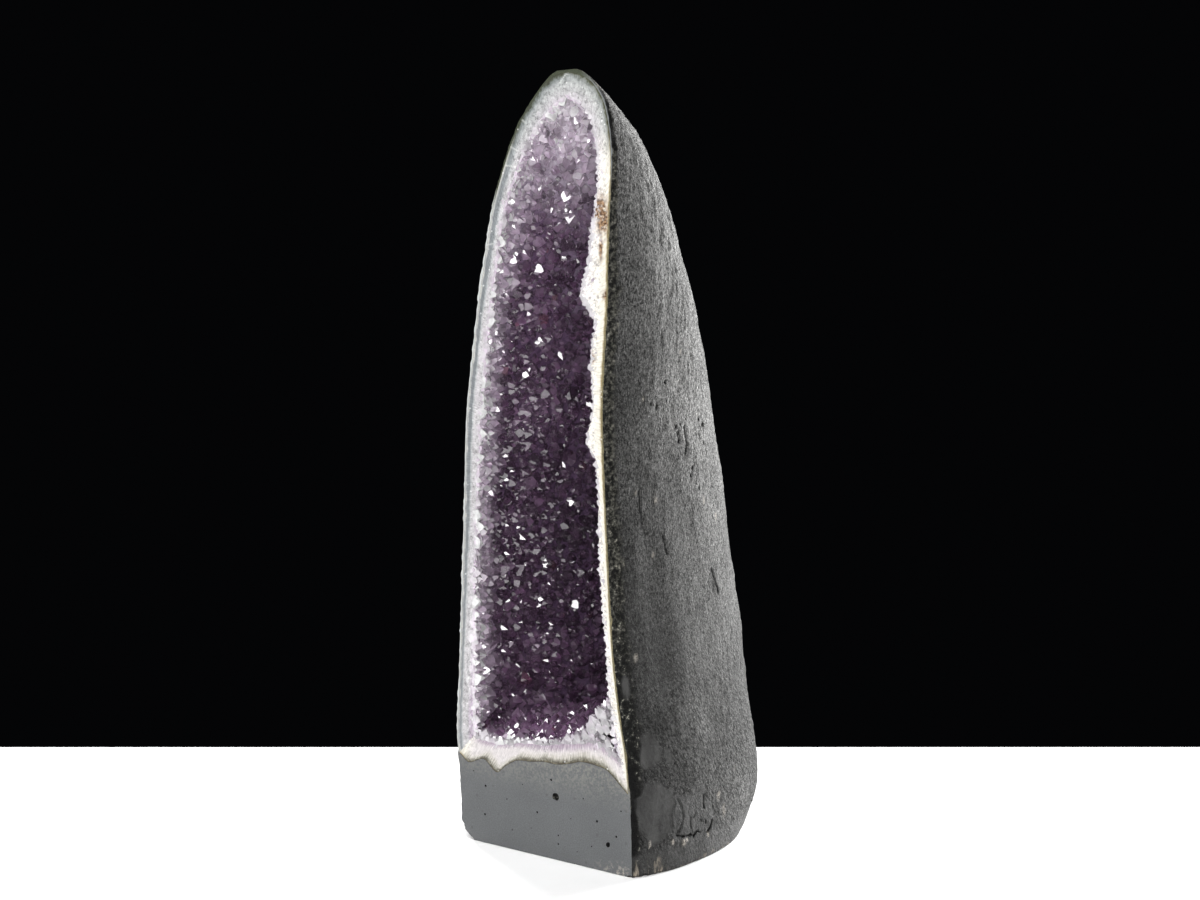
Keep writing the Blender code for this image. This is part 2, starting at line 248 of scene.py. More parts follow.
class StoneSettings(bpy.types.PropertyGroup):
    """Sizes and colours of the dark stone."""

    coat_color: color_setting(
        "Coat", "Colour of the grainy coat on the rounded outside", (0.140, 0.139, 0.136))
    sawn_color: color_setting(
        "Sawn stone", "Colour of the flat sawn foot", (0.108, 0.112, 0.116))
    grain_height: length_setting(
        "Grain height", "How far the coat's coarse grain stands out", 0.0005, 0, 0.002)
    slit_count: IntProperty(
        name="Slits", description="Number of small pits and slits in the coat",
        default=150, min=0, max=600,
    )


class RimSettings(bpy.types.PropertyGroup):
    """Sizes and colours of the sawn band around the hollow."""

    agate_color: color_setting(
        "Agate", "Colour of the thin band next to the stone", (0.20, 0.215, 0.225))
    quartz_color: color_setting(
        "White quartz", "Colour of the massive quartz", (0.485, 0.47, 0.485))
    grain_height: length_setting(
        "Grain height", "How deep the grains of the white quartz are broken out", 0.0006, 0, 0.003)


class CrystalSettings(bpy.types.PropertyGroup):
    """Sizes and colours of the crystal points."""

    deep_color: color_setting(
        "Deep purple", "Colour of the points deep in the hollow", (0.18, 0.085, 0.18))
    pale_color: color_setting(
        "Lilac", "Colour of the points near the rim and the top", (0.84, 0.68, 0.85))
    clear_color: color_setting(
        "Clear quartz", "Colour of the points' roots and of the points at the saw cut",
        (0.95, 0.93, 0.95))
    spacing: length_setting(
        "Spacing", "Least distance between the large points", 0.0098, 0.005, 0.03)
    small_spacing: length_setting(
        "Small spacing", "Least distance between the small points", 0.0056, 0.003, 0.02)


class StageSettings(bpy.types.PropertyGroup):
    """Floor and light."""

    floor_color: color_setting("Floor", "Colour of the pale floor", (0.93, 0.93, 0.93))
    light_share: FloatProperty(
        name="Light", description="Strength of all the lights together", default=1.0, min=0, max=10
    )


class GeodeSettings(bpy.types.PropertyGroup):
    """All the settings of the geode."""

    stone: PointerProperty(type=StoneSettings)
    rim: PointerProperty(type=RimSettings)
    crystals: PointerProperty(type=CrystalSettings)
    stage: PointerProperty(type=StageSettings)


def settings():
    return bpy.context.scene.geode_settings


def smooth_value(points, column, at):
    """One column at the places, on a smooth curve through the points."""
    table = np.array(points, float)
    places, values = table[:, 0], table[:, column]
    number = np.arange(len(table))
    low, high = np.maximum(number - 1, 0), np.minimum(number + 1, len(table) - 1)
    slopes = (values[high] - values[low]) / (places[high] - places[low])
    at = np.clip(at, places[0], places[-1])
    after = np.clip(np.searchsorted(places, at), 1, len(table) - 1)
    before = after - 1
    span = places[after] - places[before]
    t = (at - places[before]) / span
    return (
        values[before] * (2 * t**3 - 3 * t**2 + 1)
        + values[after] * (3 * t**2 - 2 * t**3)
        + slopes[before] * span * (t**3 - 2 * t**2 + t)
        + slopes[after] * span * (t**3 - t**2)
    )


def smooth_step(value, low, high):
    t = np.clip((value - low) / (high - low), 0, 1)
    return t * t * (3 - 2 * t)


def gradient_noise(points, size, seed):
    """Smooth random values of about -1 to 1; size is the length of one lump."""
    spots = points / np.asarray(size)
    cell = np.floor(spots).astype(np.int64)
    inside = spots - cell
    ease = inside**3 * (inside * (inside * 6 - 15) + 10)
    total = np.zeros(len(points))
    for corner in itertools.product((0, 1), repeat=3):
        # Large odd numbers mix the corner's place into random bits, ten for each axis.
        mixed = (cell + corner) @ np.array([374761393, 668265263, 1440662683])
        mixed = (mixed + seed * 1013904223) & 0xFFFFFFFF
        mixed = ((mixed ^ (mixed >> 13)) * 1274126177) & 0xFFFFFFFF
        mixed ^= mixed >> 16
        slopes = np.stack([mixed & 1023, (mixed >> 10) & 1023, (mixed >> 20) & 1023], 1)
        weight = np.prod(np.where(corner, ease, 1 - ease), axis=1)
        total += weight * np.sum((slopes / 511.5 - 1) * (inside - corner), axis=1)
    return total * 1.6


def profile_at(profile, z):
    return [smooth_value(profile, column, z / MM) * MM for column in (1, 2, 3)]


def stone_edges(z):
    return profile_at(STONE_PROFILE, z)


def hollow_edges(z):
    return profile_at(HOLLOW_PROFILE, z)


def floor_at(floor, x):
    return smooth_value(floor, 1, x / MM) * MM


def cavity_edges(z, gap):
    """The cavity in the stone, smaller by the gap for the crust that fills it."""
    left, right, depth = stone_edges(z)
    dome = np.clip(1 - (CAVITY_TOP - z) / DOME_SPAN, 0, 1)
    closing = np.sqrt(1 - dome**2)
    half = np.maximum((right - left) / 2 - RIM_WALL - gap, 0) * closing
    middle = (left + right) / 2
    wall = np.minimum(BACK_WALL_SHARE * depth, BACK_WALL) + gap
    return middle - half, middle + half, np.maximum(depth - wall, 0) * closing


def section_frame(edges, z):
    """Middles and half sizes of the level superellipses whose chords in the saw cut run from
    left to right."""
    left, right, depth = edges
    middle_share = smooth_value(MIDDLE_SHARES, 1, z / MM)
    chord_share = (1 - middle_share**SECTION_POWER) ** (1 / SECTION_POWER)
    half_width = (right - left) / 2 / chord_share
    half_depth = depth / (1 + middle_share)
    return (left + right) / 2, FRONT_Y + middle_share * half_depth, half_width, half_depth


def section_point(edges, z, turn, share):
    middle_x, middle_y, half_width, half_depth = section_frame(edges, z)
    across, back = np.cos(turn), np.sin(turn)
    x = np.sign(across) * np.abs(across) ** (2 / SECTION_POWER) * half_width
    y = np.sign(back) * np.abs(back) ** (2 / SECTION_POWER) * half_depth
    return middle_x + x * share, middle_y + y * share


def ledge_at(x, y, z, left, right):
    """How far the ledges of white quartz push the hollow's right edge inwards."""
    rightward = np.clip((2 * x - left - right) / (right - left), 0, 1) ** 2
    near_cut = np.exp(-np.maximum(y - FRONT_Y, 0) / LEDGE_FADE)
    reach = sum(
        np.exp(-(((z - height) / LEDGE_HALF_SPAN) ** 2)) * size for height, size in LEDGES
    )
    return rightward * near_cut * reach


def along_line(points):
    """How far along a line each of its points lies."""
    steps = np.linalg.norm(np.diff(points, axis=0), axis=1)
    return np.concatenate([[0], np.cumsum(steps)])


def even_heights(edges_at, low, high, share):
    """Heights whose rings lie evenly along the outline, for shares of the way up."""
    z = np.linspace(low, high, 3000)
    left, right, depth = edges_at(z)
    half = (right - left) / 2
    steps = np.sqrt(np.diff(z) ** 2 + np.diff(half) ** 2 + np.diff(depth) ** 2)
    length = np.concatenate([[0], np.cumsum(steps)])
    return np.interp(share * length[-1], length, z)


def ring_shares(rise, floor_share):
    """How far out on the floor and how far up the wall each ring lies."""
    up = (rise - floor_share) / (1 - floor_share)
    return np.clip(rise / floor_share, 0, 1), np.clip(up, 0, 1)


def place_stone(rise, turn):
    share, up = ring_shares(rise, STONE_FLOOR_SHARE)
    z = even_heights(stone_edges, STONE_START, STONE_TOP, up)
    x, y = section_point(stone_edges(z), z, turn, share)
    return np.stack([x, y, z], 1)


def place_hole(rise, turn, floor_share, edges_at, floor, top, thickening, gap, has_ledges):
    """A hole with an uneven floor, whose wall moves inwards behind the saw cut."""
    share, up = ring_shares(rise, floor_share)
    bottom = floor[0][1] * MM
    nominal = even_heights(edges_at, bottom, top, up)
    z = nominal
    for _ in range(4):
        edges = edges_at(z)
        x, y = section_point(edges, z, turn, share)
        if has_ledges:
            x = x - ledge_at(x, y, z, edges[0], edges[1])
        move = SIDE_THICKENING * smooth_step(y - FRONT_Y, *thickening)
        x, y = x - np.cos(turn) * move, y - np.sin(turn) * move
        low = floor_at(floor, x) + gap
        z = low + (nominal - bottom) * (top - low) / (top - bottom)
    return np.stack([x, y, z], 1)


def place_cavity(rise, turn, gap=0.0, top=CAVITY_TOP):
    return place_hole(
        rise, turn, CAVITY_FLOOR_SHARE, lambda z: cavity_edges(z, gap), STONE_FLOOR, top,
        (3 * MM, 15 * MM), gap, False,
    )


def place_hollow(rise, turn):
    return place_hole(
        rise, turn, HOLLOW_FLOOR_SHARE, hollow_edges, HOLLOW_FLOOR, HOLLOW_PROFILE[-1][0] * MM,
        (0.0, 45 * MM), 0.0, True,
    )


def select_only(*pieces):
    bpy.ops.object.select_all(action="DESELECT")
    for piece in pieces:
        piece.select_set(True)
    bpy.context.view_layer.objects.active = pieces[0]


def edit_all(piece, tool, **values):
    """Runs one edit-mode tool on the whole piece."""
    select_only(piece)
    bpy.ops.object.mode_set(mode="EDIT")
    bpy.ops.mesh.select_all(action="SELECT")
    tool(**values)
    bpy.ops.object.mode_set(mode="OBJECT")


def smooth_shading(piece, degrees):
    select_only(piece)
    bpy.ops.object.shade_smooth_by_angle(angle=math.radians(degrees))


def read_points(mesh, name="co"):
    points = np.empty(len(mesh.vertices) * 3)
    mesh.vertices.foreach_get(name, points)
    return points.reshape(-1, 3)


def write_points(mesh, points):
    mesh.vertices.foreach_set("co", np.ascontiguousarray(points, float).ravel())
    mesh.update()


def slice_off(piece, place, normal):
    """Saws off what lies on the normal's side of a plane and closes the cut."""
    edit_all(
        piece, bpy.ops.mesh.bisect, plane_co=place, plane_no=normal, use_fill=True,
        clear_inner=False, clear_outer=True,
    )


def divide_at(piece, plane_y):
    """Adds an edge loop where a saw cut will pass, so that its outline stays true."""
    edit_all(piece, bpy.ops.mesh.bisect, plane_co=(0, plane_y, 0), plane_no=(0, -1, 0))


def put_in_order(mesh):
    """Builds the same mesh with its edges and faces in the order of their vertices."""
    faces = [tuple(polygon.vertices) for polygon in mesh.polygons]
    starts = [face.index(min(face)) for face in faces]
    faces = sorted(face[start:] + face[:start] for face, start in zip(faces, starts))
    edges = sorted(tuple(sorted(edge.vertices)) for edge in mesh.edges)
    points = read_points(mesh)
    mesh.clear_geometry()
    mesh.from_pydata(points, edges, faces)


def add_tower(name, columns, rings, place, spacing=((0.0, 1.0), (-180.0, 180.0))):
    """A closed skin: a sphere whose rings and columns are moved onto the form."""
    bpy.ops.object.select_all(action="DESELECT")
    bpy.ops.mesh.primitive_uv_sphere_add(
        segments=columns, ring_count=rings, radius=1, location=(0, 0, 0)
    )
    piece = bpy.context.object
    piece.name = piece.data.name = name
    while piece.data.uv_layers:
        piece.data.uv_layers.remove(piece.data.uv_layers[0])
    points = read_points(piece.data)
    rise = 1 - np.arccos(np.clip(points[:, 2], -1, 1)) / math.pi
    from_back = (np.arctan2(points[:, 1], points[:, 0]) - math.pi / 2) % math.tau
    from_back = np.where(from_back > math.pi, from_back - math.tau, from_back)
    from_back = np.radians(np.interp(from_back / math.tau + 0.5, *spacing))
    write_points(piece.data, place(rise, from_back + math.pi / 2))
    edit_all(piece, bpy.ops.mesh.normals_make_consistent, inside=False)
    put_in_order(piece.data)
    return piece


def bulge_forward(mesh, plane_y):
    """Moves what lies before a saw cut well clear of it, so that the cut is clean."""
    points = read_points(mesh)
    before = np.maximum(plane_y - points[:, 1], 0)
    points[:, 1] -= 3 * before + 6 * MM * (1 - np.exp(-before / MM))
    write_points(mesh, points)


def refine(mesh, wanted, cuts):
    """Divides the faces whose middles the test picks."""
    bm = bmesh.new()
    bm.from_mesh(mesh)
    middles = np.array([face.calc_center_median() for face in bm.faces])
    bm.faces.ensure_lookup_table()
    edges = {edge for index in np.flatnonzero(wanted(middles)) for edge in bm.faces[index].edges}
    edges = sorted(edges, key=lambda edge: sorted(vertex.index for vertex in edge.verts))
    bmesh.ops.subdivide_edges(bm, edges=edges, cuts=cuts, use_grid_fill=True)
    bm.to_mesh(mesh)
    bm.free()


def apply_modifier(piece, kind, **values):
    select_only(piece)
    modifier = piece.modifiers.new(kind.lower(), kind)
    for name, value in values.items():
        setattr(modifier, name, value)
    bpy.ops.object.modifier_apply(modifier=modifier.name)


def cut_with(piece, cutter):
    apply_modifier(
        piece, "BOOLEAN", operation="DIFFERENCE", solver="EXACT", object=cutter,
        material_mode="INDEX",
    )
    bpy.data.objects.remove(cutter, do_unlink=True)


def use_material(mesh, number):
    for polygon in mesh.polygons:
        polygon.material_index = number


def set_attributes(mesh, **values_by_name):
    for name, values in values_by_name.items():
        attribute = mesh.attributes.new(name, "FLOAT", "POINT")
        attribute.data.foreach_set("value", np.ascontiguousarray(values, np.float32))


def hand_over(piece, node):
    """Ties a finished piece to the frame, in place of its CAD node."""
    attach(piece, BODY)
    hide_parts(node)


def as_color(value):
    """A socket or a colour with alpha, from a grey value, three values or itself."""
    if isinstance(value, bpy.types.NodeSocket):
        return value
    if isinstance(value, (int, float)):
        return (value, value, value, 1)
    return (*value, 1) if len(value) == 3 else tuple(value)


def shades(color, low, high):
    """A darker and a lighter shade of a colour."""
    return tuple(c * low for c in color[:3]), tuple(c * high for c in color[:3])


class Nodes:
    """The nodes of a material or a group. Each tool adds nodes and gives their output."""

    def __init__(self, tree):
        self.tree = tree
        self.link = tree.links.new

    def add(self, kind, inputs=None, **values):
        """inputs gives each socket a value or the output that feeds it."""
        node = self.tree.nodes.new(kind)
        for name, value in values.items():
            setattr(node, name, value)
        for socket, value in (inputs or {}).items():
            if isinstance(value, bpy.types.NodeSocket):
                self.link(value, node.inputs[socket])
            else:
                node.inputs[socket].default_value = value
        return node.outputs

    def mix(self, factor, first, second, blend="MIX"):
        return self.add(
            "ShaderNodeMix", {0: factor, 6: as_color(first), 7: as_color(second)},
            data_type="RGBA", blend_type=blend,
        )[2]

    def tinted(self, tone, *factors):
        """The tone multiplied by other colours."""
        for factor in factors:
            tone = self.mix(1.0, tone, factor, "MULTIPLY")
        return tone

    def math(self, operation, first, second, clamp=False):
        return self.add(
            "ShaderNodeMath", {0: first, 1: second}, operation=operation, use_clamp=clamp)[0]

    def plus(self, first, second, clamp=False):
        return self.math("ADD", first, second, clamp)

    def minus(self, first, second, clamp=False):
        return self.math("SUBTRACT", first, second, clamp)

    def times(self, first, second, clamp=False):
        return self.math("MULTIPLY", first, second, clamp)

    def ramp(self, factor, *stops):
        """Colours in stops of a place and a colour or grey value."""
        node = self.tree.nodes.new("ShaderNodeValToRGB")
        self.link(factor, node.inputs[0])
        elements = node.color_ramp.elements
        while len(elements) < len(stops):
            elements.new(0.5)
        for element, (place, color) in zip(elements, stops):
            element.position = place
            element.color = as_color(color)
        return node.outputs[0]

    def spread(self, value, low, high):
        """0 at low, 1 at high, even between."""
        return self.add("ShaderNodeMapRange", {0: value, 1: low, 2: high, 3: 0.0, 4: 1.0})[0]

    def stretched(self, vector, scale):
        return self.add("ShaderNodeVectorMath", {0: vector, 1: scale}, operation="MULTIPLY")[0]

    def noise(self, vector, scale, detail=4.0, roughness=0.55):
        return self.add("ShaderNodeTexNoise", {
            "Vector": vector, "Scale": scale, "Detail": detail, "Roughness": roughness})[0]

    def place(self):
        return self.add("ShaderNodeTexCoord")["Object"]

    def parts(self, vector):
        return self.add("ShaderNodeSeparateXYZ", {0: vector})

    def attribute(self, name, output=2):
        return self.add("ShaderNodeAttribute", attribute_name=name)[output]

    def grain(self, vector, scale):
        """The outputs Mottle, Height and Speck of the mineral grain."""
        return self.add(
            "ShaderNodeGroup", {"Vector": vector, "Scale": scale}, node_tree=mineral_grain())


class Surface(Nodes):
    """The nodes of a new material with its shader."""

    def __init__(self, name):
        self.material = bpy.data.materials.new(name)
        self.material.use_nodes = True
        super().__init__(self.material.node_tree)
        self.shader = self.material.node_tree.nodes["Principled BSDF"]

    def set(self, **values):
        """Constant values by the names of the shader's sockets, with _ for a space."""
        for name, value in values.items():
            self.shader.inputs[name.replace("_", " ")].default_value = value

    def finish(self, tone, rough, height=None, strength=1.0, distance=0.0):
        self.link(tone, self.shader.inputs["Base Color"])
        self.link(rough, self.shader.inputs["Roughness"])
        if height is not None:
            bump = self.add("ShaderNodeBump", {
                "Height": height, "Strength": strength, "Distance": distance})
            self.link(bump[0], self.shader.inputs["Normal"])
        return self.material


def mineral_grain():
    """Fine grain of stone or quartz: a light and dark mottle, and the height of its grains."""
    name = "mineral_grain"
    if name in bpy.data.node_groups:
        return bpy.data.node_groups[name]
    tree = bpy.data.node_groups.new(name, "ShaderNodeTree")
    nodes = Nodes(tree)
    sockets = tree.interface.new_socket
    sockets("Vector", in_out="INPUT", socket_type="NodeSocketVector")
    sockets("Scale", in_out="INPUT", socket_type="NodeSocketFloat").default_value = 400.0
    for output in ("Mottle", "Height", "Speck"):
        sockets(output, in_out="OUTPUT", socket_type="NodeSocketFloat")
    vector, scale = nodes.add("NodeGroupInput")[:2]
    result = tree.nodes.new("NodeGroupOutput").inputs
    coarse = nodes.noise(vector, scale, 3.0, 0.6)
    fine = nodes.noise(vector, nodes.times(scale, 2.3), 2.0, 0.7)
    cells = nodes.add("ShaderNodeTexVoronoi", {"Vector": vector, "Scale": scale}, feature="F1")
    mottle = nodes.plus(nodes.times(coarse, 0.6), nodes.times(fine, 0.4))
    chosen = nodes.add("ShaderNodeSeparateColor", {0: cells["Color"]})
    speck = nodes.times(
        nodes.spread(cells["Distance"], 0.32, 0.12), nodes.spread(chosen[0], 0.9, 0.93))
    nodes.link(nodes.spread(mottle, 0.36, 0.64), result["Mottle"])
    nodes.link(nodes.minus(mottle, nodes.times(cells[0], 0.5)), result["Height"])
    nodes.link(speck, result["Speck"])
    return tree


def coat_material(color):
    """Grey stucco-like coat: upright streaky grain and a dark crust by the cut, with painted shade
    in its pits, creases and grain and near the cut, and painted light towards the top.
    """
    n = Surface("basalt_coat")
    place = n.place()
    _, y, height = n.parts(place)
    upright = n.grain(n.stretched(place, (1.0, 1.0, 0.50)), 620.0)
    leaning = n.add("ShaderNodeMapping", {
        "Vector": place, "Rotation": (math.radians(28), 0, 0), "Scale": (1.0, 1.0, 2.2),
    }, vector_type="TEXTURE")[0]
    stucco = n.grain(leaning, 500.0)
    pores = n.grain(n.stretched(place, (1.0, 1.0, 0.60)), 400.0)
    fine = n.grain(place, 800.0)
    low_down = n.spread(height, 0.30, 0.10)
    mottle = n.mix(low_down, upright["Mottle"], stucco["Mottle"])
    relief = n.mix(low_down, upright["Height"], stucco["Height"])
    tone = n.mix(n.spread(n.noise(place, 14.0, 3.0), 0.35, 0.65), *shades(color, 0.80, 1.30))
    # The grain's low spots are painted much darker and its high spots lighter: partly the coat's
    # own grain, partly painted shade and light of the grain.
    tone = n.tinted(tone, n.ramp(mottle, (0.08, 0.06), (0.3, 0.54), (0.55, 1.14), (0.9, 2.1)))
    # Painted shade: black dots stand for the shade in the coat's small pits.
    dark = n.plus(n.times(pores["Speck"], 0.85), n.times(upright["Speck"], 0.7), True)
    tone = n.mix(dark, tone, 0.006)
    # Painted shade and light: within 90 mm behind the saw cut the coat is painted darker, most of
    # all low down, and the whole coat is painted darker low down and lighter towards the top, for
    # how the lamps fall on it.
    beside = n.mix(n.spread(height, 0.48, 0.62), 0.29, 0.62)
    shaded = n.mix(n.spread(n.minus(y, FRONT_Y), 0.0, 0.09), beside, 1.0)
    painted_light_by_height = n.mix(n.spread(height, 0.12, 0.52), 0.60, 1.42)
    tone = n.tinted(
        tone, n.ramp(fine["Mottle"], (0.1, 0.42), (0.9, 1.55)), n.tinted(shaded, painted_light_by_height))
    bare = n.attribute("bare")
    smeared = n.noise(n.stretched(place, (1.0, 1.0, 0.4)), 90.0, 5.0, 0.65)
    smooth_tone = n.mix(n.spread(smeared, 0.35, 0.65), *shades(color, 0.17, 0.52))
    tone = n.mix(n.times(bare, 0.85), tone, smooth_tone)
    flecks = n.noise(place, 240.0, 5.0, 0.7)
    # The dark crust by the cut: partly its own dark colour with pale specks, partly painted shade,
    # its near-black spots standing for the shade in its pits.
    crust_and_pit_shade = n.ramp(
        flecks, (0.36, 0.002), (0.50, (0.007, 0.007, 0.006)), (0.58, (0.035, 0.035, 0.032)),
        (0.63, (0.13, 0.128, 0.11)), (0.69, (0.50, 0.48, 0.40)))
    loose_tone = n.ramp(
        flecks, (0.36, 0.002), (0.46, (0.010, 0.010, 0.008)), (0.52, (0.055, 0.054, 0.045)),
        (0.62, (0.15, 0.145, 0.125)), (0.69, (0.45, 0.43, 0.35)))
    crust_and_pit_shade = n.mix(n.spread(height, 0.17, 0.28), crust_and_pit_shade, loose_tone)
    tone = n.mix(n.times(n.attribute("crusty"), n.minus(1.0, bare)), tone, crust_and_pit_shade)
    # Painted shade: the creases, drip lines and pits are painted nearly black.
    tone = n.mix(n.times(n.attribute("crease"), 1.7, True), tone, 0.003)
    fleck = n.times(n.attribute("fleck"), n.spread(fine["Mottle"], 0.25, 0.5))
    tone = n.mix(fleck, tone, (0.55, 0.50, 0.44))
    chipped = n.noise(n.stretched(place, (1.0, 1.0, 0.25)), 190.0, 4.0)
    chip_mask = n.times(n.attribute("worn"), n.spread(chipped, 0.52, 0.6))
    tone = n.mix(chip_mask, tone, (0.45, 0.39, 0.31))
    relief = n.plus(relief, n.times(fine["Height"], 0.45))
    still = n.minus(1.0, n.times(bare, 0.85))
    n.set(Specular_IOR_Level=0.2)
    rough = n.minus(0.85, n.times(bare, 0.4))
    return n.finish(tone, rough, n.times(relief, still), 1.0, 0.0040)


def sawn_stone_material(color):
    """Sawn basalt: flat blue-grey with fine speckles and a few tiny pores."""
    n = Surface("sawn_basalt")
    place = n.place()
    x, _, z = n.parts(place)
    fine, pores = n.grain(place, 900.0), n.grain(place, 160.0)
    tone = n.mix(n.spread(n.noise(place, 22.0, 3.0), 0.3, 0.7), *shades(color, 0.93, 1.07))
    tone = n.tinted(tone, n.ramp(fine["Mottle"], (0.0, 0.72), (1.0, 1.28)))
    tone = n.mix(n.times(fine["Speck"], 0.35), tone, (0.34, 0.35, 0.35))
    tone = n.mix(n.times(pores["Speck"], 0.5), tone, 0.06)
    pale = n.times(n.spread(z, 0.055, 0.088), n.spread(n.noise(place, 500.0, 4.0), 0.42, 0.62))
    tone = n.mix(n.times(pale, 0.4), tone, (0.33, 0.32, 0.27))
    at_corner = n.times(n.spread(x, 0.055, 0.095), n.spread(z, 0.014, 0.001))
    chip_mask = n.times(at_corner, n.spread(n.noise(place, 240.0, 4.0), 0.5, 0.62))
    tone = n.mix(chip_mask, tone, (0.45, 0.41, 0.36))
    # The thin edge beside the crust: pale on the left, a painted highlight along the edge, green at
    # the top, dark on the right.
    green = n.mix(fine["Mottle"], (0.006, 0.008, 0.003), (0.050, 0.062, 0.028))
    edge = n.mix(n.spread(z, 0.575, 0.60), (0.50, 0.51, 0.50), green)
    olive = n.mix(fine["Mottle"], (0.03, 0.03, 0.02), (0.26, 0.22, 0.11))
    olive = n.mix(n.spread(z, 0.59, 0.62), olive, (0.13, 0.14, 0.14))
    edge = n.mix(n.spread(x, 0.045, 0.06), edge, olive)
    tone = n.mix(n.attribute("rim"), tone, edge)
    return n.finish(tone, n.mix(fine["Mottle"], 0.5, 0.72), fine["Height"], 0.35, 0.0003)


def break_material():
    """Freshly broken stone in the pits and chips."""
    n = Surface("broken_basalt")
    place = n.place()
    fine = n.grain(place, 600.0)
    low = n.spread(n.parts(place)[2], 0.014, 0.008)
    tone = n.mix(low, (0.055, 0.055, 0.056), (0.40, 0.36, 0.30))
    tone = n.tinted(tone, n.ramp(fine["Mottle"], (0.0, 0.5), (1.0, 1.4)))
    return n.finish(tone, n.mix(low, 0.7, 0.85), fine["Height"], 0.7, 0.0006)


def right_side(points):
    """Places on the right side as distance behind the cut and height, in millimetres."""
    spots = np.stack([points[:, 1] - FRONT_Y, points[:, 2]], 1) / MM
    spots[points[:, 0] < 0.02, 0] = 999
    return spots


def stroke_mask(spots, line, half):
    """1 on a line drawn on the right side, falling off over half its width in millimetres."""
    nearest = np.full(len(spots), 1e9)
    for start, end in zip(line, line[1:]):
        start, way = np.array(start, float), np.array(end, float) - start
        share = np.clip((spots - start) @ way / (way @ way + 1e-9), 0, 1)
        away = spots - start - share[:, None] * way
        nearest = np.minimum(nearest, (away**2).sum(1))
    return np.exp(-nearest / half**2)


def patch_mask(spots, corners, soft):
    """1 inside a polygon on the right side, with soft edges in millimetres."""
    inside = np.full(len(spots), 1e9)
    for start, end in zip(corners, corners[1:] + corners[:1]):
        way = np.array(end, float) - start
        normal = np.array([-way[1], way[0]]) / np.hypot(*way)
        inside = np.minimum(inside, (spots - np.array(start, float)) @ normal)
    return smooth_step(inside, -soft, soft)


def crease_mask(points):
    spots = right_side(points)
    wave = np.stack([gradient_noise(points, 7 * MM, seed) for seed in (33, 34)], 1)
    masks = [stroke_mask(spots + wave, line, half) for line, half, _ in CREASES]
    masks += [stroke_mask(spots, ((u, z - 0.5), (u, z + 0.5)), half) for u, z, half in PITS]
    return masks


def in_drips(points):
    """The drip marks low on the right side, where the coat has fine lines."""
    u, z = right_side(points).T
    return (u > 38) & (u < 98) & (z > 14) & (z < 68)


def is_marked(points):
    """The drip marks, and close to the slits and pits."""
    return in_drips(points) | (np.max(crease_mask(points), axis=0) > 0.05)


def is_drawn(points):
    """Close to the lines of the drip marks."""
    return in_drips(points) & (np.max(crease_mask(points)[DRIP_LINES], axis=0) > 0.02)


def bare_mask(points):
    """Where the coat is rubbed smooth, low on the right side."""
    spots = right_side(points)
    wave = np.stack([gradient_noise(points, 13 * MM, seed) * 3.0 for seed in (31, 32)], 1)
    masks = [patch_mask(spots + wave, corners, 1.6) for corners in SMOOTH_PATCHES]
    behind, height, wide, tall = SOCKET
    away = ((spots[:, 0] - behind) / wide) ** 2 + ((spots[:, 1] - height) / tall) ** 2
    masks.append(smooth_step(away, 1.3, 0.7))
    skirt = smooth_step(spots[:, 1] + wave[:, 0] * 1.5, 26, 18) * (spots[:, 0] < 400)
    masks.append(0.6 * skirt)
    masks.append(0.75 * patch_mask(spots + wave, DRIP_PATCH, 3.0))
    return np.max(masks, axis=0)


def crusty_width(z):
    """How far the dark crust reaches back from the cut."""
    heights = (0, 60, 110, 180, 250, 420, 560, 640, 700)
    return np.interp(z / MM, heights, (6, 9, 18, 18, 14, 11, 8, 5, 3)) * MM


def slits_at(points, count):
    """Small pits and slits all over the coat: how deep they are at each point."""
    chance = np.random.default_rng(11)
    depth = np.zeros(len(points))
    behind = points[:, 1] - FRONT_Y
    kept = np.flatnonzero((behind > 16 * MM) & (points[:, 2] > 60 * MM))
    for number in chance.choice(kept, count, replace=False):
        half = chance.uniform(1.3, 2.2) * MM
        tall = half * chance.uniform(1.2, 4.0)
        deep = chance.uniform(0.5, 1.7) * MM
        away = points - points[number]
        level = np.hypot(away[:, 0], away[:, 1]) / half
        depth += deep * np.exp(-(level**2) - (away[:, 2] / tall) ** 2)
    return depth


def away_from_middle(points):
    """Level directions from the middle of each section to its points."""
    middle_x, middle_y, _, _ = section_frame(stone_edges(points[:, 2]), points[:, 2])
    ways = np.stack([points[:, 0] - middle_x, points[:, 1] - middle_y], 1)
    ways /= np.linalg.norm(ways, axis=1)[:, None] + 1e-9
    return np.concatenate([ways, np.zeros((len(points), 1))], 1)


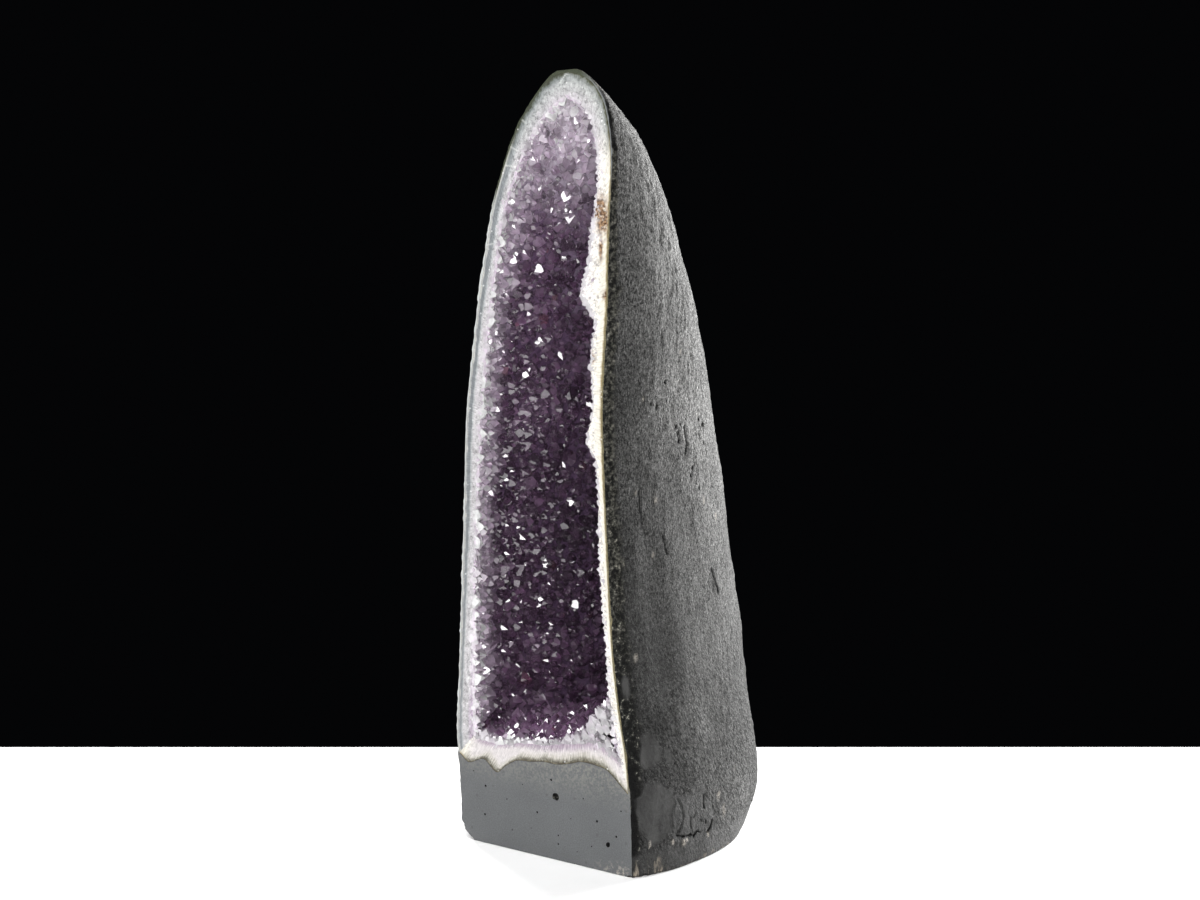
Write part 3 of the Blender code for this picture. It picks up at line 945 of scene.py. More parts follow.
def relieve_stone(mesh, grain_height, slit_count):
    """Gives the coat its lumps, upright streaks, grain, slits, crust and rubbed patches."""
    points = read_points(mesh)
    z = points[:, 2]
    behind = points[:, 1] - FRONT_Y
    spots = right_side(points)
    bare = bare_mask(points)
    rough = 1 - 0.9 * bare
    out = LUMP_HEIGHT * gradient_noise(points, LUMP_SIZE, 1) * smooth_step(behind, 0, 40 * MM)
    out += 0.7 * MM * gradient_noise(points, 24 * MM, 2) - 0.3 * MM
    out += rough * 0.5 * MM * gradient_noise(points, (5 * MM, 5 * MM, 30 * MM), 3)
    grain = gradient_noise(points, (3.4 * MM, 3.4 * MM, 8 * MM), 4)
    out += rough * grain_height * grain * 1.5
    width = crusty_width(z)
    crusty = smooth_step(behind, width * 1.25, width * 0.7) * rough
    out -= crusty * 1.5 * MM * np.maximum(gradient_noise(points, 5 * MM, 5), -0.1)
    out -= 0.9 * MM * bare
    socket_behind, socket_height, wide, tall = SOCKET
    beside_socket = ((spots[:, 0] - socket_behind) / wide) ** 2
    out -= 2.6 * MM * np.exp(-beside_socket - ((spots[:, 1] - socket_height) / tall) ** 2)
    # A broad shallow groove runs up the right side behind the cut.
    groove = np.interp(z / MM, (160, 240, 340), (50, 44, 40))
    groove = np.exp(-(((spots[:, 0] - groove) / 13) ** 2))
    span = smooth_step(z, 120 * MM, 175 * MM) * smooth_step(z, 350 * MM, 290 * MM)
    out -= 3.2 * MM * groove * span
    deep = [depth for _, _, depth in CREASES] + [PIT_DEPTH] * len(PITS)
    for mask, depth in zip(crease_mask(points), deep):
        out -= mask * depth * MM
    out -= slits_at(points, slit_count)
    # The wall beside the crust is thin at the cut, so hollows there stay shallow.
    deepest = (0.8 + 4.2 * smooth_step(behind, 4 * MM, 18 * MM)) * MM
    out = np.where(out < 0, -deepest * np.tanh(-out / deepest), out)
    soft_top = np.clip((STONE_TOP - z) / (40 * MM), 0, 1)
    write_points(mesh, points + away_from_middle(points) * (out * soft_top)[:, None])


def add_lump(radius, place, seed, unevenness, material):
    """A small uneven ball, which makes a pit or a chip when it is cut away."""
    bpy.ops.mesh.primitive_ico_sphere_add(subdivisions=3, radius=radius, location=(0, 0, 0))
    lump = bpy.context.object
    points = read_points(lump.data)
    scale = 1 + unevenness * gradient_noise(points + seed * 0.1, radius * 0.8, seed)
    write_points(lump.data, points * scale[:, None] + place)
    use_material(lump.data, material)
    return lump


def foot_edge_chips(chance):
    """Places and radii of the chips along the lower edges of the foot."""
    chips = []
    for x in (97.5, 91.0, 38.0, -61.0):
        deep = FRONT_Y + chance.uniform(-1.6, -0.4) * MM
        chips.append((x * MM, deep, chance.uniform(1.4, 2.6) * MM))
    edges = [float(edge) for edge in stone_edges(np.array(0.0))]
    for turn in (-37, -33, -26, 4, 14, 32, 84, 135, 203):
        x, y = section_point(edges, np.array(0.0), math.radians(turn), 1.0)
        chips.append((float(x), float(y), chance.uniform(1.6, 3.2) * MM))
    return chips


class GEODE_OT_stone(bpy.types.Operator):
    """Make the dark stone with its coat, its sawn foot and the cavity for the crust"""

    bl_idname = "geode.stone"
    bl_label = "Stone"

    def execute(self, context):
        own = settings().stone
        stone = add_tower("basalt_stone", *STONE_GRID, place_stone, STONE_COLUMNS)
        refine(stone.data, is_marked, 2)
        refine(stone.data, is_drawn, 1)
        relieve_stone(stone.data, own.grain_height, own.slit_count)
        bulge_forward(stone.data, FRONT_Y)
        slice_off(stone, (0, 0, 0), (0, 0, -1))
        slice_off(stone, (0, FRONT_Y, 0), (0, -1, 0))
        stone.data.materials.append(coat_material(own.coat_color))
        stone.data.materials.append(sawn_stone_material(own.sawn_color))
        stone.data.materials.append(break_material())
        cutter = add_tower("stone_cutter", *CUTTER_GRID, place_cavity, CUTTER_COLUMNS)
        divide_at(cutter, FRONT_Y)
        bulge_forward(cutter.data, FRONT_Y)
        use_material(cutter.data, 1)
        select_only(cutter, *self.add_lumps())
        bpy.ops.object.join()
        cut_with(stone, cutter)
        self.finish_faces(stone)
        hand_over(stone, STONE_NODE)
        return {"FINISHED"}

    def add_lumps(self):
        """What the gas bubbles and the chips take away; large bubbles are only dents."""
        lumps = []
        for number, (x, z, radius) in enumerate(FOOT_PITS, 1):
            radius *= MM
            is_shallow = radius > 2 * MM
            sink = radius * (-0.55 if is_shallow else 0.35)
            place = (x * MM, FRONT_Y + sink, z * MM)
            lumps.append(add_lump(radius, place, number, 0.2, 1 if is_shallow else 2))
        for number, (x, y, radius) in enumerate(foot_edge_chips(np.random.default_rng(5)), 40):
            lumps.append(add_lump(radius, (x, y, -0.25 * radius), number, 0.4, 2))
        return lumps

    def finish_faces(self, stone):
        mesh = stone.data
        for polygon in mesh.polygons:
            flat_front = polygon.normal.y < -0.99 and abs(polygon.center.y - FRONT_Y) < 0.05 * MM
            flat_base = polygon.normal.z < -0.99 and abs(polygon.center.z) < 0.05 * MM
            if flat_front or flat_base:
                polygon.material_index = 1
        smooth_shading(stone, 38)
        bm = bmesh.new()
        bm.from_mesh(mesh)
        for edge in bm.edges:
            if len({face.material_index for face in edge.link_faces}) > 1:
                edge.smooth = False
        bm.to_mesh(mesh)
        bm.free()
        points = read_points(mesh)
        behind = points[:, 1] - FRONT_Y
        width = crusty_width(points[:, 2])
        ragged = gradient_noise(points, 6 * MM, 8) * 2.5 * MM
        # How dark the creases and pits are painted: painted shade.
        weights = np.ones(len(CREASES) + len(PITS))
        weights[: DRIP_LINES.start] = 0.75
        weights[len(CREASES):] = 0.8
        spots = right_side(points)
        flecks = []
        for number, (u, z) in enumerate(WHITE_FLECKS):
            line = ((u, z - 0.4 - number % 3 * 0.5), (u, z + 1))
            flecks.append(stroke_mask(spots, line, 0.9 + number % 4 * 0.25))
        from_corner = np.hypot(points[:, 0] - 99 * MM, behind - 6 * MM)
        at_corner = smooth_step(from_corner, 42 * MM, 8 * MM)
        uneven = points[:, 2] + gradient_noise(points, 9 * MM, 9) * 8 * MM
        low = smooth_step(uneven, (3 + 13 * at_corner) * MM, 0.5 * MM)
        above_line = points[:, 2] - floor_at(STONE_FLOOR, points[:, 0])
        set_attributes(
            mesh,
            bare=bare_mask(points),
            crusty=smooth_step(behind + ragged, width * 1.15, width * 0.6),
            crease=np.max(np.array(crease_mask(points)) * weights[:, None], axis=0),
            fleck=np.max(flecks, axis=0),
            worn=low * (0.35 + 0.65 * at_corner),
            rim=smooth_step(above_line, 2 * MM, 6 * MM),
        )


def lining_material():
    """What shows between the points: dark purple quartz, paler towards the cut."""
    n = Surface("crust_quartz")
    place = n.place()
    grain = n.grain(place, 300.0)
    x, y, z = n.parts(place)
    reach = n.mix(n.spread(x, 0.0, -0.05), 0.018, 0.050)
    pale = n.minus(1.0, n.math("DIVIDE", n.minus(y, FRONT_Y), reach), True)
    pale = n.math("MAXIMUM", pale, n.spread(z, 0.57, 0.66))
    deep = n.mix(grain["Mottle"], (0.06, 0.035, 0.07), (0.20, 0.12, 0.22))
    light = n.mix(grain["Mottle"], (0.42, 0.34, 0.44), (0.75, 0.70, 0.76))
    rough = n.mix(grain["Mottle"], 0.25, 0.5)
    return n.finish(n.mix(pale, deep, light), rough, grain["Height"], 0.6, 0.0012)


class GEODE_OT_crust_body(bpy.types.Operator):
    """Make the body of the quartz crust, behind the sawn band and under the points"""

    bl_idname = "geode.crust_body"
    bl_label = "Crust body"

    def execute(self, context):
        front = FRONT_Y + BAND_THICKNESS + 0.3 * MM
        crust = add_tower(
            "crust_body", *CRUST_BODY_GRID,
            lambda rise, turn: place_cavity(rise, turn, CRUST_BODY_GAP, CRUST_BODY_TOP),
        )
        divide_at(crust, front)
        bulge_forward(crust.data, front)
        slice_off(crust, (0, front, 0), (0, -1, 0))
        hollow = add_tower("hollow_form", *HOLLOW_GRID, place_hollow)
        bulge_forward(hollow.data, front)
        points = read_points(hollow.data)
        rough = gradient_noise(points, 7 * MM, 21) * MM
        write_points(hollow.data, points + read_points(hollow.data, "normal") * rough[:, None])
        crust.data.materials.append(lining_material())
        cut_with(crust, hollow)
        smooth_shading(crust, 35)
        hand_over(crust, CRUST_NODE)
        return {"FINISHED"}


def line_at(line, length, at):
    """x and z of the place that lies this far along the line."""
    return [np.interp(at, length, line[:, k]) for k in (0, 1)]


def even_points(line, count):
    """The same line with evenly spaced points."""
    length = along_line(line)
    return np.stack(line_at(line, length, np.linspace(0, length[-1], count)), 1)


def outer_line(side):
    """The cavity's outline in the saw cut, from the floor to the top, as x and z."""
    x_corner = {"left": -97, "right": 93}[side] * MM
    z = np.linspace(floor_at(STONE_FLOOR, np.array(x_corner)), CAVITY_TOP - CRUST_GAP, 900)
    left, right, _ = cavity_edges(z, CRUST_GAP)
    return np.stack([left if side == "left" else right, z], 1)


def inner_line(side):
    """The hollow's outline in the saw cut, from its floor to its top, as x and z."""
    if side == "right":
        edge = np.array(RIGHT_EDGE) * MM
        z = np.linspace(edge[0, 1], edge[-1, 1], 900)
        x = np.interp(z, edge[:, 1], edge[:, 0])
    else:
        z = np.linspace(90 * MM, HOLLOW_PROFILE[-1][0] * MM, 900)
        x = hollow_edges(z)[0]
    above = z > floor_at(HOLLOW_FLOOR, x)
    return np.stack([x[above], z[above]], 1)


def band_loops(side_count, floor_count):
    """Outer and inner edge of the band, point for point, once around from the lower left."""
    loops = []
    for line, floor, lift in (
        (outer_line, STONE_FLOOR, CRUST_GAP), (inner_line, HOLLOW_FLOOR, 0.0)
    ):
        left, right = line("left"), line("right")
        x = np.linspace(right[0, 0], left[0, 0], 500)
        low = np.stack([x, floor_at(floor, x) + lift], 1)
        loops.append(np.concatenate([
            even_points(left, side_count), even_points(right[::-1], side_count),
            even_points(low, floor_count)]))
    return loops


def band_material(agate, quartz):
    """Bands of agate, white quartz and lilac, with fibres across them and brown stains."""
    n = Surface("agate_and_quartz_band")
    place = n.place()
    grain, crystals = n.grain(place, 520.0), n.grain(place, 300.0)
    across = n.attribute("from_edge")
    wave = n.times(n.minus(n.noise(place, 130.0, 4.0), 0.5), 0.16)
    depth = n.plus(n.times(across, 1 / 0.03), wave)
    fibres = n.noise(
        n.stretched(n.add("ShaderNodeUVMap", uv_map="band")[0], (900.0, 90.0, 1.0)), 1.0, 3.0)
    height = n.parts(place)[2]
    # Higher up on the left the agate is nearly twice as wide.
    wide_agate = n.times(n.spread(height, 0.48, 0.56), n.spread(height, 0.66, 0.62))
    left_depth = n.math("DIVIDE", depth, n.plus(1.0, n.times(wide_agate, 0.8)))
    # Painted highlight: a pale line along the outer edge of the band on the left.
    left = n.ramp(
        left_depth, (0.0, (0.55, 0.54, 0.50)), (0.035, (0.36, 0.37, 0.37)), (0.06, agate),
        (0.15, agate), (0.20, (0.40, 0.41, 0.42)), (0.26, quartz), (0.5, quartz),
        (0.7, (0.44, 0.36, 0.45)))
    right = n.ramp(
        depth, (0.0, (0.26, 0.20, 0.10)), (0.03, (0.48, 0.42, 0.29)), (0.08, (0.76, 0.72, 0.63)),
        (0.4, (0.79, 0.75, 0.69)), (1.0, (0.74, 0.69, 0.70)))
    uneven = n.minus(fibres, 0.5)
    floor_depth = n.plus(depth, n.times(uneven, 0.55))
    floor = n.ramp(
        n.mix(n.spread(depth, 0.08, 0.22), depth, floor_depth), (0.0, (0.07, 0.055, 0.025)),
        (0.04, (0.14, 0.125, 0.08)), (0.10, (0.27, 0.26, 0.21)), (0.19, (0.52, 0.49, 0.44)),
        (0.40, (0.64, 0.60, 0.60)))
    to_inner = n.plus(n.attribute("to_inner"), n.times(uneven, 0.014))
    columns = n.mix(fibres, (0.20, 0.14, 0.20), (0.56, 0.48, 0.55))
    floor = n.mix(n.spread(to_inner, 0.010, 0.005), floor, columns)
    spotted = n.spread(n.noise(place, 280.0, 4.0, 0.65), 0.46, 0.56)
    dirt = n.times(n.spread(across, 0.0060, 0.0010), spotted)
    floor = n.mix(dirt, floor, (0.045, 0.036, 0.02))
    top_wave = n.times(n.minus(n.noise(place, 300.0, 4.0, 0.6), 0.5), 0.22)
    top = n.ramp(
        n.plus(depth, top_wave), (0.0, (0.014, 0.018, 0.007)), (0.04, (0.040, 0.050, 0.028)),
        (0.08, (0.12, 0.135, 0.125)), (0.18, (0.24, 0.26, 0.26)), (0.36, (0.37, 0.38, 0.38)),
        (1.0, (0.48, 0.44, 0.48)))
    tone = n.mix(n.attribute("rightness"), left, right)
    tone = n.mix(n.attribute("topness"), tone, top)
    tone = n.mix(n.attribute("floorness"), tone, floor)
    tone = n.tinted(tone, n.ramp(fibres, (0.3, 0.74), (0.7, 1.2)))
    even = n.minus(1.0, n.times(n.attribute("floorness"), 0.7))
    grainy = n.times(n.spread(depth, 0.12, 0.3), even)
    broken = n.ramp(crystals["Mottle"], (0.0, 0.42), (0.35, 0.85), (0.6, 1.05), (1.0, 1.3))
    tone = n.mix(grainy, tone, n.tinted(tone, broken))
    tone = n.mix(n.times(crystals["Speck"], 0.6), tone, (0.95, 0.94, 0.95))
    stain = n.times(n.attribute("stain"), n.spread(n.noise(place, 260.0, 5.0), 0.30, 0.52))
    mottled = n.spread(n.noise(place, 420.0, 3.0), 0.45, 0.6)
    tone = n.mix(stain, tone, n.mix(mottled, (0.08, 0.035, 0.012), (0.36, 0.22, 0.12)))
    tone = n.mix(n.times(n.attribute("crack"), 0.55), tone, (0.86, 0.87, 0.84))
    n.set(IOR=1.54)
    relief = n.plus(n.times(crystals["Height"], grainy), n.times(grain["Height"], 0.3))
    return n.finish(tone, n.mix(grainy, 0.22, 0.42), relief, 0.6, 0.0008)


class GEODE_OT_rim_band(bpy.types.Operator):
    """Make the sawn band of agate and quartz around the hollow"""

    bl_idname = "geode.rim_band"
    bl_label = "Sawn band"

    def execute(self, context):
        own = settings().rim
        # Cells along each side, along the floor and across the band.
        side, floor, cells = 460, 220, 22
        bpy.ops.object.select_all(action="DESELECT")
        bpy.ops.mesh.primitive_grid_add(
            x_subdivisions=2 * side + floor, y_subdivisions=cells, size=2, location=(0, 0, 0)
        )
        band = bpy.context.object
        band.name = band.data.name = "rim_band"
        mesh = band.data
        flat = read_points(mesh)
        along, inwards = (flat[:, 0] + 1) / 2, (flat[:, 1] + 1) / 2
        outer, inner = (np.concatenate([loop, loop[:1]]) for loop in band_loops(side, floor))
        at = along * (len(outer) - 1)
        start, end = (
            np.stack(line_at(loop, range(len(loop)), at), 1) for loop in (outer, inner)
        )
        width = np.linalg.norm(end - start, axis=1)
        inside = start + (end - start) * inwards[:, None]
        spots = np.stack([inside[:, 0], np.zeros(len(inside)), inside[:, 1]], 1)
        rightness = smooth_step(at, side - 30, side + 30)
        jag = gradient_noise(spots, 6.5 * MM, 51) * 1.7 + gradient_noise(spots, 2.8 * MM, 52)
        on_right = rightness * smooth_step(at, 2 * side + 8, 2 * side - 12)
        jag += gradient_noise(spots, 11 * MM, 55) * 2.6 * on_right
        inside = inside + (end - start) / width[:, None] * (jag * inwards**3 * MM)[:, None]
        from_edge = inwards * width
        grainy = smooth_step(from_edge, 5 * MM, 10 * MM)
        relief = sum(
            np.abs(gradient_noise(spots, size * MM, seed)) * own.grain_height * grainy
            for size, seed in ((2.6, 53), (6, 54))
        )
        floorness = smooth_step(at, 2 * side - 12, 2 * side + 8)
        floorness = floorness * smooth_step(at, 2 * side + floor, 2 * side + floor - 14)
        relief *= 1 - 0.5 * floorness
        relief += smooth_step(inwards, 0.8, 1.0) ** 2 * 1.6 * MM
        points = np.stack([inside[:, 0], FRONT_Y + 0.12 * MM + relief, inside[:, 1]], 1)
        write_points(mesh, points)
        corner_points = np.empty(len(mesh.loops), np.int32)
        mesh.loops.foreach_get("vertex_index", corner_points)
        while mesh.uv_layers:
            mesh.uv_layers.remove(mesh.uv_layers[0])
        # The fibres are drawn in metres along the band, which is 1.45 m long.
        fibres = np.stack([along * 1.45, from_edge], 1)[corner_points]
        mesh.uv_layers.new(name="band").data.foreach_set("uv", fibres.ravel())
        face_spots = points[:, [0, 2]] / MM
        stains = [
            np.exp(-(((face_spots - (x, z)) / (wide, tall)) ** 2).sum(1))
            for x, z, wide, tall in STAINS
        ]
        set_attributes(
            mesh,
            from_edge=from_edge,
            to_inner=width - from_edge,
            rightness=rightness,
            topness=smooth_step(points[:, 2], 610 * MM, 655 * MM) * 0.9,
            floorness=floorness,
            stain=np.clip(np.max(stains, axis=0) * 1.8, 0, 1),
            crack=np.max([stroke_mask(face_spots, line, 0.45) for line in CRACKS], axis=0),
        )
        edit_all(band, bpy.ops.mesh.remove_doubles, threshold=0.00001)
        edit_all(band, bpy.ops.mesh.normals_make_consistent, inside=False)
        if sum(polygon.normal.y for polygon in mesh.polygons) > 0:
            edit_all(band, bpy.ops.mesh.flip_normals)
        mesh.materials.append(band_material(own.agate_color, own.quartz_color))
        apply_modifier(band, "SOLIDIFY", thickness=BAND_THICKNESS, offset=-1.0)
        smooth_shading(band, 40)
        hand_over(band, CRUST_NODE)
        return {"FINISHED"}


def make_point_forms(count, chance):
    """Six-sided points a unit in radius, each sliced to its own three broad and three narrow
    faces. Returns for each its points, triangles and the number of each triangle's face."""
    forms = []
    level, upright = math.sin(FACE_SLOPE), math.cos(FACE_SLOPE)
    for _ in range(count):
        bpy.ops.object.select_all(action="DESELECT")
        bpy.ops.mesh.primitive_cylinder_add(
            vertices=6, radius=1, depth=2.7, location=(0, 0, 0.65)
        )
        point = bpy.context.object
        bpy.ops.object.transform_apply(location=True, rotation=False, scale=False)
        broad = chance.integers(2)
        for number in range(6):
            turn = math.radians(60 * number + 30)
            tip = 1.28 + chance.uniform(*((-0.16, 0.06) if number % 2 == broad else (-0.02, 0.34)))
            normal = (math.cos(turn) * level, math.sin(turn) * level, upright)
            slice_off(point, (0, 0, tip), normal)
        bm = bmesh.new()
        bm.from_mesh(point.data)
        bmesh.ops.dissolve_degenerate(bm, edges=bm.edges, dist=0.001)
        bmesh.ops.recalc_face_normals(bm, faces=bm.faces)
        for index, face in enumerate(bm.faces):
            face.material_index = index
        bmesh.ops.triangulate(bm, faces=bm.faces)
        points = np.array([vertex.co for vertex in bm.verts])
        triangles = np.array([[vertex.index for vertex in face.verts] for face in bm.faces])
        faces = np.array([face.material_index for face in bm.faces])
        bm.free()
        bpy.data.objects.remove(point, do_unlink=True)
        forms.append((points, triangles, faces))
    return forms


def hollow_samples(count, chance, margin):
    """Random places on the hollow's skin with the directions into the hollow."""
    rings, columns = 150, 150
    rise = np.repeat(np.arange(rings + 1) / rings, columns)
    turn = np.tile(np.arange(columns) / columns * math.tau, rings + 1)
    points = place_hollow(rise, turn)
    lower = np.arange(rings * columns)
    ring, column = lower // columns, lower % columns
    beside = ring * columns + (column + 1) % columns
    upper, over = lower + columns, beside + columns
    corners = np.concatenate([
        np.stack([lower, beside, over], 1), np.stack([lower, over, upper], 1)])
    a, b, c = (points[corners[:, k]] for k in range(3))
    outwards = np.cross(b - a, c - a)
    area = np.linalg.norm(outwards, axis=1) / 2
    normals = np.zeros_like(points)
    for k in range(3):
        np.add.at(normals, corners[:, k], outwards)
    normals /= np.maximum(np.linalg.norm(normals, axis=1), 1e-12)[:, None]
    area = area * ((a + b + c)[:, 1] / 3 > FRONT_Y - margin)
    chosen = chance.choice(len(area), count, p=area / area.sum())
    first, second = chance.random(count), chance.random(count)
    over = first + second > 1
    first, second = np.where(over, 1 - first, first), np.where(over, 1 - second, second)
    shares = np.stack([first, second, 1 - first - second], 1)[:, :, None]
    places, inwards = (
        (values[corners[chosen]] * shares).sum(1) for values in (points, -normals)
    )
    return places, unit(inwards)


def keep_apart(places, distances):
    """Numbers of the places that are kept, so that none is nearer to another than asked."""
    cell = float(distances.max())
    kept, grid = [], {}
    keys = np.floor(places / cell).astype(int)
    for number, (place, key, least) in enumerate(zip(places.tolist(), keys.tolist(), distances)):
        near = itertools.product(*((k - 1, k, k + 1) for k in key))
        others = itertools.chain.from_iterable(grid.get(cell_key, ()) for cell_key in near)
        if all(math.dist(place, other) >= least for other in others):
            grid.setdefault(tuple(key), []).append(place)
            kept.append(number)
    return np.array(kept)


def unit(vectors):
    return vectors / np.linalg.norm(vectors, axis=-1, keepdims=True)


def frames_along(axes, spin):
    """Turning matrices whose third column is the axis, spun about it."""
    helper = np.where(np.abs(axes[:, 2:]) < 0.9, (0.0, 0.0, 1.0), (1.0, 0.0, 0.0))
    side = unit(np.cross(helper, axes))
    other = np.cross(axes, side)
    cos, sin = np.cos(spin)[:, None], np.sin(spin)[:, None]
    return np.stack([side * cos + other * sin, other * cos - side * sin, axes], 2)


def inside_stone(points):
    """Moves roots that would pass the stone's thin wall back inside it."""
    z = points[:, 2]
    middle_x, middle_y, half_width, half_depth = section_frame(stone_edges(z), z)
    limit = 1 - ROOT_MARGIN / np.maximum(half_width, 2 * ROOT_MARGIN)
    across = (points[:, 0] - middle_x) / half_width
    back = (points[:, 1] - middle_y) / half_depth
    beside = np.abs(back) < 0.8
    room = np.maximum(limit**SECTION_POWER - np.abs(back) ** SECTION_POWER, 0)
    widest = np.where(beside, room ** (1 / SECTION_POWER), 9)
    across = np.clip(across, -widest, widest)
    reach = (np.abs(across) ** SECTION_POWER + np.abs(back) ** SECTION_POWER) ** (1 / SECTION_POWER)
    scale = np.where(beside, 1.0, np.minimum(1, limit / np.maximum(reach, 1e-6)))
    moved_x = middle_x + across * half_width * scale
    return np.stack([moved_x, middle_y + back * half_depth * scale, z], 1)


class PointPile:
    """Gathers crystal points and makes them one mesh."""

    def __init__(self, forms, chance):
        self.forms = forms
        self.chance = chance
        self.points, self.triangles, self.tints = [], [], []
        self.count = 0

    def add(self, place, turning, radius, stretch, tint, root_tint, cut_y):
        """One point. tint and root_tint are its colours at the tip and at the root."""
        form_points, triangles, faces = self.forms[self.chance.integers(len(self.forms))]
        body = form_points * (radius, radius, radius * stretch)
        points = body @ turning.T + place
        if points[:, 1].max() < cut_y + 0.2 * MM:
            return
        rise = np.clip((form_points[:, 2] + 0.5) / 1.7, 0, 1)[:, None]
        colors = root_tint * (1 - rise) + tint * rise
        # Painted light and shade: each face is painted lighter or darker at random, for sparkle.
        shade = self.chance.uniform(0.78, 1.22, faces.max() + 1)[faces]
        corner_colors = colors[triangles] * shade[:, None, None]
        if points[:, 1].min() < cut_y:
            points, triangles, corner_colors = sawn_point(points, triangles, colors, cut_y)
            if not len(triangles):
                return
        self.points.append(points)
        self.triangles.append(triangles + self.count)
        self.tints.append(corner_colors.reshape(-1, 3))
        self.count += len(points)

    def build(self, name, material):
        mesh = bpy.data.meshes.new(name)
        points = inside_stone(np.concatenate(self.points))
        mesh.from_pydata(points, [], np.concatenate(self.triangles))
        tints = np.clip(np.concatenate(self.tints), 0, 1)
        tints = np.concatenate([tints, np.ones((len(tints), 1))], 1)
        layer = mesh.color_attributes.new("tint", "FLOAT_COLOR", "CORNER")
        layer.data.foreach_set("color", tints.ravel().astype(np.float32))
        mesh.materials.append(material)
        piece = bpy.data.objects.new(name, mesh)
        bpy.context.scene.collection.objects.link(piece)
        hand_over(piece, CRUST_NODE)


def sawn_point(points, triangles, colors, cut_y):
    """The part of a crystal point behind the saw cut, closed by a flat face."""
    bm = bmesh.new()
    layer = bm.verts.layers.float_vector.new("color")
    for point, color in zip(points, colors):
        vertex = bm.verts.new(point)
        vertex[layer] = color
    bm.verts.ensure_lookup_table()
    for triangle in triangles:
        bm.faces.new([bm.verts[index] for index in triangle])
    cut = bmesh.ops.bisect_plane(
        bm, geom=bm.verts[:] + bm.edges[:] + bm.faces[:], dist=1e-7,
        plane_co=(0, cut_y, 0), plane_no=(0, -1, 0), clear_outer=True,
    )["geom_cut"]
    edges = [part for part in cut if isinstance(part, bmesh.types.BMEdge)]
    if len(edges) > 2:
        bmesh.ops.edgeloop_fill(bm, edges=edges)
    bmesh.ops.triangulate(bm, faces=bm.faces)
    bmesh.ops.recalc_face_normals(bm, faces=bm.faces)
    bm.verts.index_update()
    made = np.array([vertex.co for vertex in bm.verts])
    tones = np.array([vertex[layer] for vertex in bm.verts])
    corners = np.array([[vertex.index for vertex in face.verts] for face in bm.faces])
    bm.free()
    return made, corners, tones[corners] if len(corners) else tones


def crystal_material():
    """Clear to purple quartz, glassy, tinted point by point, with painted light and shade face by
    face.
    """
    n = Surface("amethyst_points")
    place = n.place()
    cloud = n.ramp(n.noise(place, 160.0, 3.0, 0.6), (0.3, 0.75), (0.7, 1.2))
    n.set(
        Transmission_Weight=0.4, IOR=1.54, Specular_IOR_Level=0.25, Coat_Weight=1.0,
        Coat_IOR=1.85, Coat_Roughness=0.02,
    )
    worn = n.spread(n.noise(place, 520.0, 3.0), 0.45, 0.75)
    return n.finish(n.tinted(n.attribute("tint", 0), cloud), n.mix(worn, 0.03, 0.14))


def point_tints(places, own, chance):
    """Colours of the tips: deep purple inside, lilac and clear towards the rim and the top, with
    painted light on the left wall near the rim.
    """
    deep, pale, clear = (
        np.array(color[:3]) for color in (own.deep_color, own.pale_color, own.clear_color)
    )
    x, y, z = places.T
    behind = (y - FRONT_Y) / MM
    cloud = gradient_noise(places, 30 * MM, 61)
    leftness = smooth_step(x, 0.0, -0.05)
    reach = 14 + 40 * leftness + 12 * cloud
    low = smooth_step(z - floor_at(HOLLOW_FLOOR, x), 14 * MM, 3 * MM) * (x < 0.04)
    near_rim = smooth_step(behind, reach * (1 - 0.75 * low), 8 * leftness)
    high = smooth_step(z + 0.02 * cloud, 0.54, 0.65)
    paleness = np.clip(near_rim + high * 0.9, 0, 1)
    paleness += 0.18 * chance.normal(size=len(x)) * (0.3 + paleness)
    paleness = np.clip(paleness + 0.10 * np.maximum(cloud, 0), 0, 1)[:, None]
    tints = deep * (1 - paleness) + pale * paleness
    clearness = np.clip(smooth_step(behind, 5.0, 0.0) + smooth_step(z, 0.64, 0.69), 0, 1)
    clearness = clearness[:, None] * 0.7
    tints = tints * (1 - clearness) + clear * clearness
    low_middle = np.exp(-(((z - 0.27) / 0.13) ** 2)) * (behind > 30)
    tints = tints * (1 - 0.42 * low_middle)[:, None]
    tints = tints * chance.uniform(0.5, 1.4, (len(x), 1)) * np.exp(0.3 * cloud)[:, None]
    # Painted light: the points on the left wall near the rim are painted up to a third lighter,
    # standing in for light the left wall lacks.
    tints *= (1 + 0.35 * leftness * near_rim)[:, None]
    red = (chance.random(len(x)) < 0.015) & (paleness[:, 0] < 0.2)
    tints[red] = tints[red] * (1.1, 0.8, 0.75)
    return tints


